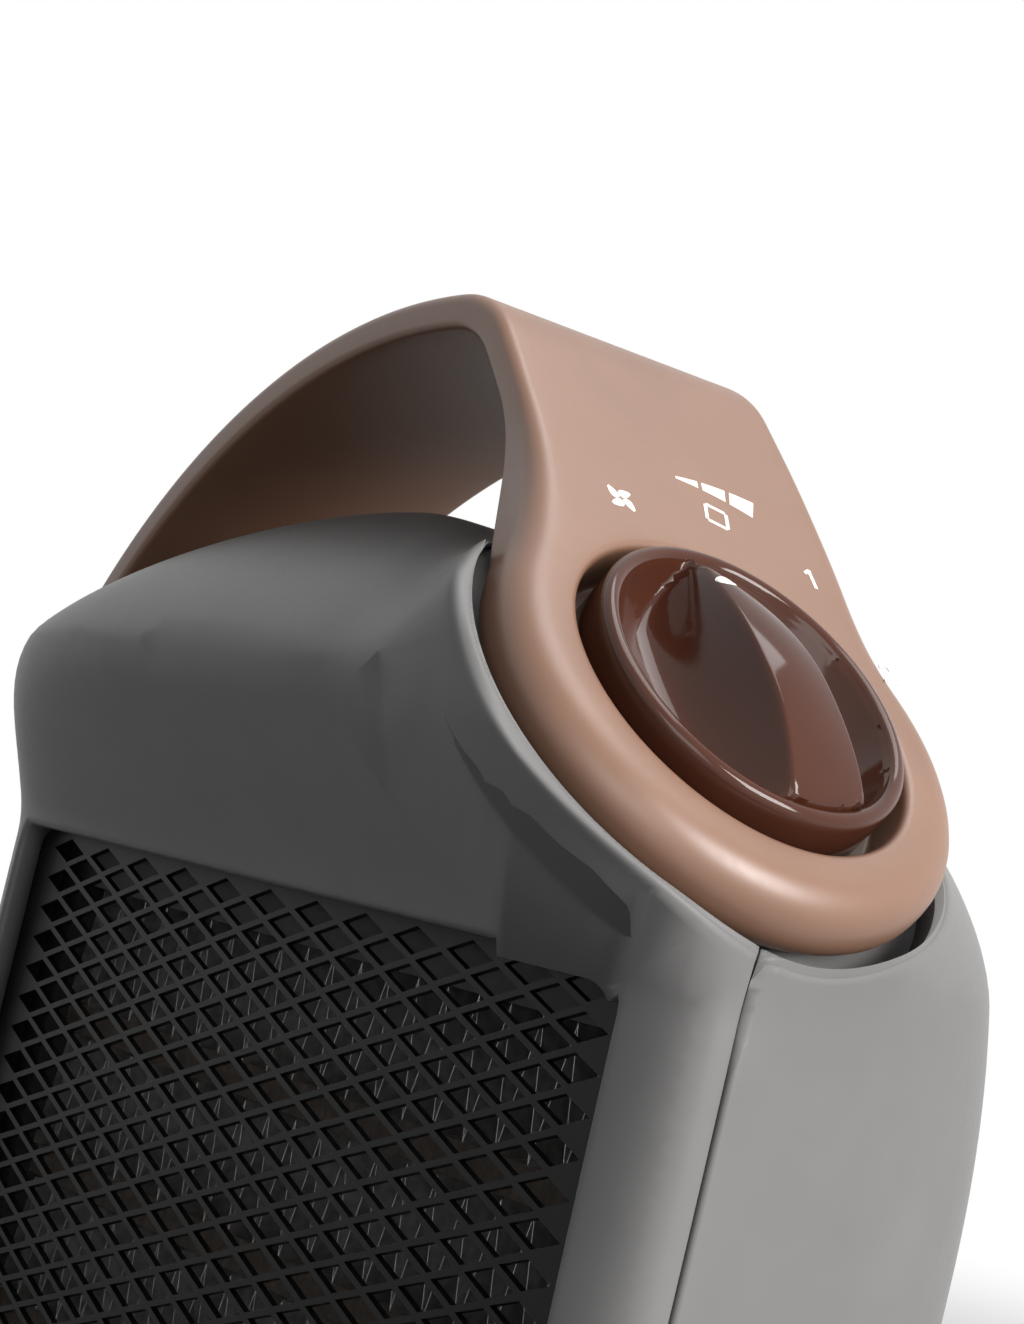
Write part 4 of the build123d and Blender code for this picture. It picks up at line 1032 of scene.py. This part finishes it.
def buildSkin(side, name, node):
    s, eye, edges = skinSet, eyeOf(side), skinEdges(side)
    parts, loop, kinds = outerLoop(side)
    holes = holeChains(side)
    loops = [loop] + [chain for _, chain in holes]
    flatLoops = [eyeMap(chain, eye, side) for chain in loops]
    corners, tris = fillLoops(flatLoops, skinPoints(side, eye, edges, parts, holes, flatLoops))
    base = np.vstack([np.vstack(loops), fromEye(eyeRay(corners[sum(len(c) for c in loops):], side), eye)])
    normals = fieldNormal(base)
    outer, total = dropped(base, normals, edges), len(base)
    thick = s["trayWall"] + (bodySet["wall"] - s["trayWall"]) * smoothStep(recessGap(base), 0, 10)
    inner = base - normals * thick[:, None]
    print("  " + name + ":", total, "points,", len(tris), "triangles")
    verts = list(outer) + list(inner)
    faces = [tuple(t) for t in tris] + [tuple(t[::-1] + total) for t in tris]
    # walls of the edges, by two rows between the outer face and the inner one
    start = 0
    for kind, chain in [("outline", loop)] + holes:
        rowA = np.arange(start, start + len(chain))
        a, b = outer[rowA], inner[rowA]
        first, second = a + (b - a) * 0.4, a + (b - a) * 0.7
        if kind == "outline":
            isRecess, isSlot = kinds == "recess", kinds == "slot"
            level = -((a[isRecess] - dialCentre) @ dialAxis)
            low = a[isRecess] - dialAxis * (np.maximum(s["floorDepth"] + 0.6 - level, 0.3))[:, None]
            away = outwardOf(chain, True, normals[rowA], recessGap)[isRecess]
            away -= (away @ dialAxis)[:, None] * dialAxis
            away /= np.maximum(np.linalg.norm(away, axis=1, keepdims=True), 1e-9)
            first[isRecess], second[isRecess] = low, low + away * s["trayWall"]
            first[isSlot] = a[isSlot] + archInward(a[isSlot]) * s["slotDepth"]
            second[isSlot] = first[isSlot] + (b[isSlot] - first[isSlot]) * 0.4
        elif kind == "window":
            first = a.copy()
            first[:, 1] = s["revealBack"]
            away = outwardOf(chain, True, normals[rowA], windowGap)
            away[:, 1] = 0
            second = first + away * s["flange"]
            # the inner face gives way to the flange
            shift = np.clip(1 - windowGap(base) / s["flangeFade"], 0, 1) * s["flange"]
            moved = away[nearest(base, chain)[1]] * shift[:, None]
            for i in range(total):
                verts[total + i] = inner[i] + moved[i]
        elif kind == "screw":
            first = a.copy()
            first[:, 1] = s["screwFloor"]
            second = first.copy()
            second[:, [0, 2]] += (second[:, [0, 2]] - chain.mean(0)[[0, 2]]) * 0.25
        row = addRow(verts, faces, list(rowA), first)
        row = addRow(verts, faces, row, second)
        faces += strip(row, list(rowA + total))
        start += len(chain)
    # plate below the pad, with the shaft's hole in the rear one
    rel = parts[1][1] - dialCentre
    flat = np.stack([rel @ strapUp, rel[:, 1]], 1)
    flat = resample(flat, 1.5)
    turn = np.linspace(0, 2 * pi, 25)[:-1]
    plates = [np.vstack([flat, np.linspace(flat[-1], flat[0], 40)[1:-1]])]
    if side > 0:
        plates.append(np.stack([np.cos(turn), np.sin(turn)], 1) * s["shaftHole"])
    plate, plateTris = fillLoops(plates, np.zeros((0, 2)))
    start, size = len(verts), len(plate)
    for depth in (s["floorDepth"], s["floorDepth"] + s["floorWall"]):
        verts += list(onDial(plate[:, 0], plate[:, 1], -depth))
    faces += [tuple(t + start) for t in plateTris] + [tuple(t[::-1] + start + size) for t in plateTris]
    for chain in plates:
        row = list(range(start, start + len(chain)))
        faces += strip(row, [r + size for r in row])
        start += len(chain)
    still = np.linalg.norm(outer - base, axis=1) < 1e-9
    exact = [n if k else None for n, k in zip(normals, still)] + [None] * (len(verts) - total)
    makePiece(name, verts, faces, finishes["shell"], "casing", [node], normals=exact)


buildSkin(-1, "frontSkin", "front_shell")
buildSkin(1, "rearSkin", "rear_shell")
print("casing skins built")


# knob: a bead rim round a dished face, with a blade whose crest is pointed at its upper end

knobSet = {
    "radius": 24.0, "beadInner": 21.4, "beadTop": 3.0, "skirtLow": -7.4, "skirtWall": 2.2,
    "floor": -4.4, "floorWall": 2.2, "bore": 3.3, "boreWall": 2.0, "boreRoof": 0.8, "step": 0.75,
    # the blade runs from foot to tip; its crest is an arch, and its sides fall in curved flanks
    "crestEnds": (3.2, 3.0), "crestPeak": 9.0, "crestHalf": 5.2, "footMore": 1.4, "pointFrom": -6.0,
    "pointPower": 1.7, "pointHalf": 0.12, "foot": -21.4, "tip": 20.6, "crown": 0.5, "archPowers": (0.95, 0.8),
    "flankWide": 8.0, "flankPower": 2.1, "wallWide": 6.0, "wallPower": 2.0, "edgeSoft": 0.7,
    # the last entry places the white spot, a painted reflection: its place along the blade, half width across it
    # and half length along it
    "valleySoft": 1.2, "paintedReflectionSpot": (14.6, 1.7, 1.15),
}


def crestHalf(v):
    # wide at the foot of the blade, drawn to a point at its upper end
    s = knobSet
    share = np.clip((v - s["pointFrom"]) / (s["tip"] - s["pointFrom"]), 0, 1)
    wide = s["crestHalf"] + s["footMore"] * smoothStep(-v, 4, 22)
    return np.maximum(wide * (1 - share ** s["pointPower"]), s["pointHalf"])


def knobHeight(u, v):
    # height of the face over the dial's plane: the blade, the dish's wall and the bead
    s, r, half = knobSet, np.hypot(u, v), crestHalf(v)
    span = np.clip((v - s["foot"]) / (s["tip"] - s["foot"]), 0, 1)
    low = s["crestEnds"][1] + (s["crestEnds"][0] - s["crestEnds"][1]) * span
    along, across = s["archPowers"]
    arch = low + (s["crestPeak"] - low) * np.clip(np.sin(pi * span ** along), 0, 1) ** across
    crest = arch - s["crown"] * np.minimum(np.abs(u) / half, 1.4) ** 2
    past = np.abs(u) - half
    share = np.clip(past / s["flankWide"], 0, 1)
    flank = s["floor"] + (arch - s["crown"] - s["floor"]) * (1 - share) ** s["flankPower"]
    flank = np.where(past < 0, arch - s["crown"] - past * 3.0, flank)
    blade = smoothMin(crest, flank, s["edgeSoft"])
    inward = np.clip((s["beadInner"] - r) / s["wallWide"], 0, 1)
    wall = s["floor"] + (s["beadTop"] - 1.0 - s["floor"]) * (1 - inward) ** s["wallPower"]
    face = -smoothMin(-blade, -wall, s["valleySoft"])
    middle, small = (s["radius"] + s["beadInner"]) / 2, (s["radius"] - s["beadInner"]) / 2
    bead = s["beadTop"] - small + np.sqrt(np.maximum(small ** 2 - (r - middle) ** 2, 0))
    return np.where(r > s["beadInner"], bead, np.minimum(face, s["crestPeak"]))


def onKnob(u, v, lift):
    # v runs along the blade, u across it, with the knob at its off mark
    turn = radians(dialSet["offAngle"])
    return onDial(v * cos(turn) + u * sin(turn), u * cos(turn) - v * sin(turn), lift)


def buildKnob():
    s = knobSet
    turn = np.linspace(0, 2 * pi, 241)[:-1]
    ring = np.stack([np.cos(turn), np.sin(turn)], 1)
    middle, small = (s["radius"] + s["beadInner"]) / 2, (s["radius"] - s["beadInner"]) / 2
    rows = [ring * (middle + small * cos(radians(a))) for a in range(15, 180, 15)]
    rows += [ring * (s["beadInner"] - d) for d in (0.0, 0.35, 0.8)]
    # rows along both edges of the crest, then a grid away from them
    v, sides = np.arange(-20.2, s["tip"] - 0.2, 0.7), []
    for offset in (-1.2, -0.8, -0.5, -0.25, 0.0, 0.22, 0.45, 0.8, 1.3, 1.9):
        half = crestHalf(v) + offset
        sides += [np.stack([hand * half, v], 1)[half > 0.05] for hand in (-1, 1)]
    sides = np.vstack(sides)
    sides = sides[np.hypot(sides[:, 0], sides[:, 1]) < s["beadInner"] - 1.0]
    grid = hexGrid((-22, -22), (22, 22), s["step"])
    grid = grid[np.hypot(grid[:, 0], grid[:, 1]) < s["beadInner"] - 1.1]
    past = np.abs(grid[:, 0]) - crestHalf(grid[:, 1])
    grid = grid[(past < -1.6) | (past > 2.3) | (grid[:, 1] > s["tip"])]
    flat, tris = fillLoops([ring * s["radius"]], np.vstack(rows + [sides, grid]))
    lift = knobHeight(flat[:, 0], flat[:, 1])
    lift[:len(ring)] = s["beadTop"] - small
    verts, faces = list(onKnob(flat[:, 0], flat[:, 1], lift)), [tuple(f) for f in tris]
    # skirt, hollow underside and the shaft's bore
    low, roof, post = s["skirtLow"], s["floor"] - s["floorWall"], s["bore"] + s["boreWall"]
    hollow, row = s["radius"] - s["skirtWall"], list(range(len(ring)))
    for radius, level in ((s["radius"], -1.0), (s["radius"], low + 0.6), (s["radius"] - 0.6, low),
                          (hollow, low), (hollow, roof), (post, roof), (post, low), (s["bore"], low),
                          (s["bore"], s["floor"] - s["boreRoof"])):
        points = onKnob(ring[:, 0] * radius, ring[:, 1] * radius, np.full(len(ring), level))
        row = addRow(verts, faces, row, points)
    faces.append(tuple(row))
    makePiece("knobFace", verts, faces, finishes["knob"], "dial", ["dial_knob"], sharp=50)
    # painted reflection: a white spot laid on the crest where a glossy dimple shows a white reflection; the
    # crest's form has no dimple
    place, wide, long = s["paintedReflectionSpot"]
    spot, faces, ring, row = [], [], ring[::8], None
    for share in (1.0, 0.82, 0.5, 0.0):
        u, v = ring[:, 0] * share * wide, ring[:, 1] * share * long + place
        points = onKnob(u, v, knobHeight(u, v) + 0.06 - (0.05 if share == 1.0 else 0.0))
        if row is None:
            spot, row = list(points), list(range(len(ring)))
        else:
            row = addRow(spot, faces, row, points)
    makePiece("knobPaintedReflection", spot, faces, finishes["mark"], "dial")


buildKnob()
print("knob built")


# white marks printed on the pad and strap, in the dial's plane: angle from up the strap, radius

markSet = {
    "lift": 0.05, "sunk": 0.1, "fan": (-16.0, 35.0, 2.6), "blades": 4, "fanTurn": 0.4,
    "square": (13.0, 38.0, 2.1, 0.62), "wedge": (4.0, 23.0, 43.0, 47.0), "wedgeLow": 0.4,
    "one": (38.0, 38.0), "two": (66.0, 34.0),
    "oneShape": [(-0.1, -1.9), (0.55, -1.9), (0.55, 1.9), (0.0, 1.9), (-1.0, 1.1), (-0.7, 0.65),
                 (-0.1, 1.05)],
    "twoFoot": [(-0.35, -1.35), (1.2, -1.35), (1.2, -1.9), (-1.2, -1.9), (-1.2, -1.5)],
}


def markShape(name, outlines):
    # flat outlines in the dial's plane, raised by a hair from the strap's face
    verts, faces = [], []
    for outline in outlines:
        flat, tris = fillLoops([np.asarray(outline, float)], np.zeros((0, 2)))
        base, size = len(verts), len(flat)
        for lift in (markSet["lift"], -markSet["sunk"]):
            verts += list(onStrap(flat[:, 0], flat[:, 1], -lift))
        faces += [tuple(t + base) for t in tris] + [tuple(t[::-1] + base + size) for t in tris]
        faces += strip(list(range(base, base + size)), list(range(base + size, base + 2 * size)))
    makePiece(name, verts, faces, finishes["mark"], "casing")


def turned(points, angle):
    x, y = points[:, 0], points[:, 1]
    return np.stack([x * cos(angle) - y * sin(angle), x * sin(angle) + y * cos(angle)], 1)


def polar(angle, radius):
    return np.array([radius * cos(radians(angle)), radius * sin(radians(angle))])


def placed(outline, angle, radius, spin=0.0):
    # local x runs clockwise round the dial, local y away from it
    a, pts = radians(angle), turned(np.asarray(outline, float), radians(spin))
    side, out = np.array([-sin(a), cos(a)]), np.array([cos(a), sin(a)])
    return polar(angle, radius) + pts[:, 0:1] * side + pts[:, 1:2] * out


def buildMarks():
    m = markSet
    angle, radius, size = m["fan"]
    t = np.linspace(0, 1, 9)
    lead = np.stack([size * t, 0.34 * size * np.sin(pi * t ** 0.8) + 0.12 * size], 1)
    trail = np.stack([size * t, -0.10 * size * np.sin(pi * t) - 0.06 * size * t], 1)
    blade = np.vstack([lead, trail[::-1]])[1:-1]
    markShape("markFan", [placed(turned(blade, k * pi / 2 + m["fanTurn"]), angle, radius)
                          for k in range(m["blades"])])
    # square: four bars with mitred ends
    angle, radius, a, stroke = m["square"]
    b = a - stroke
    bars = [[(s * b, -a + 0.3), (s * a, -a + 0.5), (s * a, a - 0.5), (s * b, a - 0.3)] for s in (1, -1)]
    bars += [[(-a + 0.3, s * b), (-a + 0.5, s * a), (a - 0.5, s * a), (a - 0.3, s * b)] for s in (1, -1)]
    markShape("markThermo", [placed(bar, angle, radius) for bar in bars])
    # wedge: three steps that rise round the dial
    low, high, near, far = m["wedge"]
    wedge = []
    for k in range(3):
        t = np.linspace(low + (high - low) * (k / 3 + 0.012), low + (high - low) * ((k + 1) / 3 - 0.04), 6)
        rise = near + m["wedgeLow"] + (far - near - m["wedgeLow"]) * (t - low) / (high - low)
        outer = [polar(a, r) for a, r in zip(t[::-1], rise[::-1])]
        wedge.append(np.vstack([[polar(a, near) for a in t], outer]))
    markShape("markWedge", wedge)
    angle, radius = m["one"]
    markShape("markOne", [placed(m["oneShape"], angle, radius, angle)])
    t = np.linspace(-0.35, pi, 12)[::-1]
    top = np.stack([1.15 * np.cos(t), 0.8 + 1.1 * np.sin(t)], 1)
    inner = np.stack([0.62 * np.cos(t), 0.8 + 0.58 * np.sin(t)], 1)
    angle, radius = m["two"]
    markShape("markTwo", [placed(np.vstack([top, m["twoFoot"], inner[::-1]]), angle, radius, angle)])


buildMarks()
print("marks built")


# stage: floor, world and lights, in metres

stageSet = {
    "floorRadius": 6.0, "fadeStart": 0.45, "fadeEnd": 1.6, "floorColour": 0.86, "worldFill": 0.03,
    "floorBounce": 0.12,  # the floor's colour as the object is lit by it
    # name: place, aim, width, height, power in watts, colour
    "lamps": {
        "key": ((1.50, 0.36, 0.62), (0.05, -0.02, 0.16), 0.8, 0.8, 38.0, (1.0, 0.985, 0.965)),
        "top": ((0.20, 0.20, 1.50), (0.0, 0.0, 0.15), 1.0, 0.7, 9.0, (1.0, 1.0, 1.0)),
        "front": ((0.95, -0.80, 0.24), (0.05, -0.03, 0.14), 0.7, 0.7, 4.2, (1.0, 1.0, 1.0)),
    },
}


def seenRays(nodes, links, kinds):
    # 1 for the named kinds of ray
    path, seen = nodes.new("ShaderNodeLightPath"), None
    for kind in kinds:
        if seen is None:
            seen = path.outputs[kind]
            continue
        join = addNode(nodes, "ShaderNodeMath", operation="MAXIMUM")
        links.new(seen, join.inputs[0])
        links.new(path.outputs[kind], join.inputs[1])
        seen = join.outputs[0]
    return seen


def mixInto(nodes, links, share, first, second, surface):
    mix = nodes.new("ShaderNodeMixShader")
    for number, source in enumerate((share, first, second)):
        links.new(source, mix.inputs[number])
    links.new(mix.outputs[0], surface.inputs["Surface"])


def makeStage(s):
    # a pale disc that keeps the shadow and fades to white away from the object
    form = bmesh.new()
    bmesh.ops.create_circle(form, cap_ends=True, segments=96, radius=s["floorRadius"])
    mesh = bpy.data.meshes.new("floor")
    form.to_mesh(mesh)
    form.free()
    floor = bpy.data.objects.new("floor", mesh)
    scene.collection.objects.link(floor)
    material, nodes, links, shader = newMaterial("paleFloor")
    shader.inputs["Roughness"].default_value = 0.9
    shader.inputs["Specular IOR Level"].default_value = 0.1
    seen = seenRays(nodes, links, ("Is Camera Ray", "Is Glossy Ray"))
    tone = nodes.new("ShaderNodeMix")
    tone.data_type = "RGBA"
    tone.inputs["A"].default_value = (s["floorBounce"],) * 3 + (1,)
    tone.inputs["B"].default_value = (s["floorColour"],) * 3 + (1,)
    links.new(seen, tone.inputs["Factor"])
    links.new(tone.outputs["Result"], shader.inputs["Base Color"])
    place = nodes.new("ShaderNodeTexCoord")
    length = addNode(nodes, "ShaderNodeVectorMath", operation="LENGTH")
    fade = addNode(nodes, "ShaderNodeMapRange", interpolation_type="SMOOTHSTEP")
    fade.inputs["From Min"].default_value, fade.inputs["From Max"].default_value = s["fadeStart"], s["fadeEnd"]
    links.new(place.outputs["Object"], length.inputs[0])
    links.new(length.outputs["Value"], fade.inputs["Value"])
    share = addNode(nodes, "ShaderNodeMath", operation="MULTIPLY")
    links.new(seen, share.inputs[0])
    links.new(fade.outputs["Result"], share.inputs[1])
    glow = addNode(nodes, "ShaderNodeEmission", Color=(1, 1, 1, 1), Strength=1.0)
    mixInto(nodes, links, share.outputs[0], shader.outputs[0], glow.outputs[0], nodes["Material Output"])
    mesh.materials.append(material)


def makeWorld(s):
    world = bpy.data.worlds.new("studio")
    scene.world = world
    world.use_nodes = True
    nodes, links = world.node_tree.nodes, world.node_tree.links
    fill = nodes["Background"]
    fill.inputs["Color"].default_value = (1, 1, 1, 1)
    fill.inputs["Strength"].default_value = s["worldFill"]
    white = addNode(nodes, "ShaderNodeBackground", Color=(1, 1, 1, 1), Strength=1.0)
    clear = seenRays(nodes, links, ("Is Camera Ray", "Is Glossy Ray", "Is Transmission Ray"))
    mixInto(nodes, links, clear, fill.outputs[0], white.outputs[0], nodes["World Output"])


def makeLamps(s):
    for name, (place, aim, width, height, power, colour) in s["lamps"].items():
        data = bpy.data.lights.new(name, "AREA")
        data.shape, data.size, data.size_y = "RECTANGLE", width, height
        data.energy, data.color = power, colour
        lamp = bpy.data.objects.new(name, data)
        lamp.location = place
        lamp.rotation_euler = (Vector(place) - Vector(aim)).to_track_quat("Z", "Y").to_euler()
        scene.collection.objects.link(lamp)


makeStage(stageSet)
makeWorld(stageSet)
makeLamps(stageSet)
print("stage and lamps set")
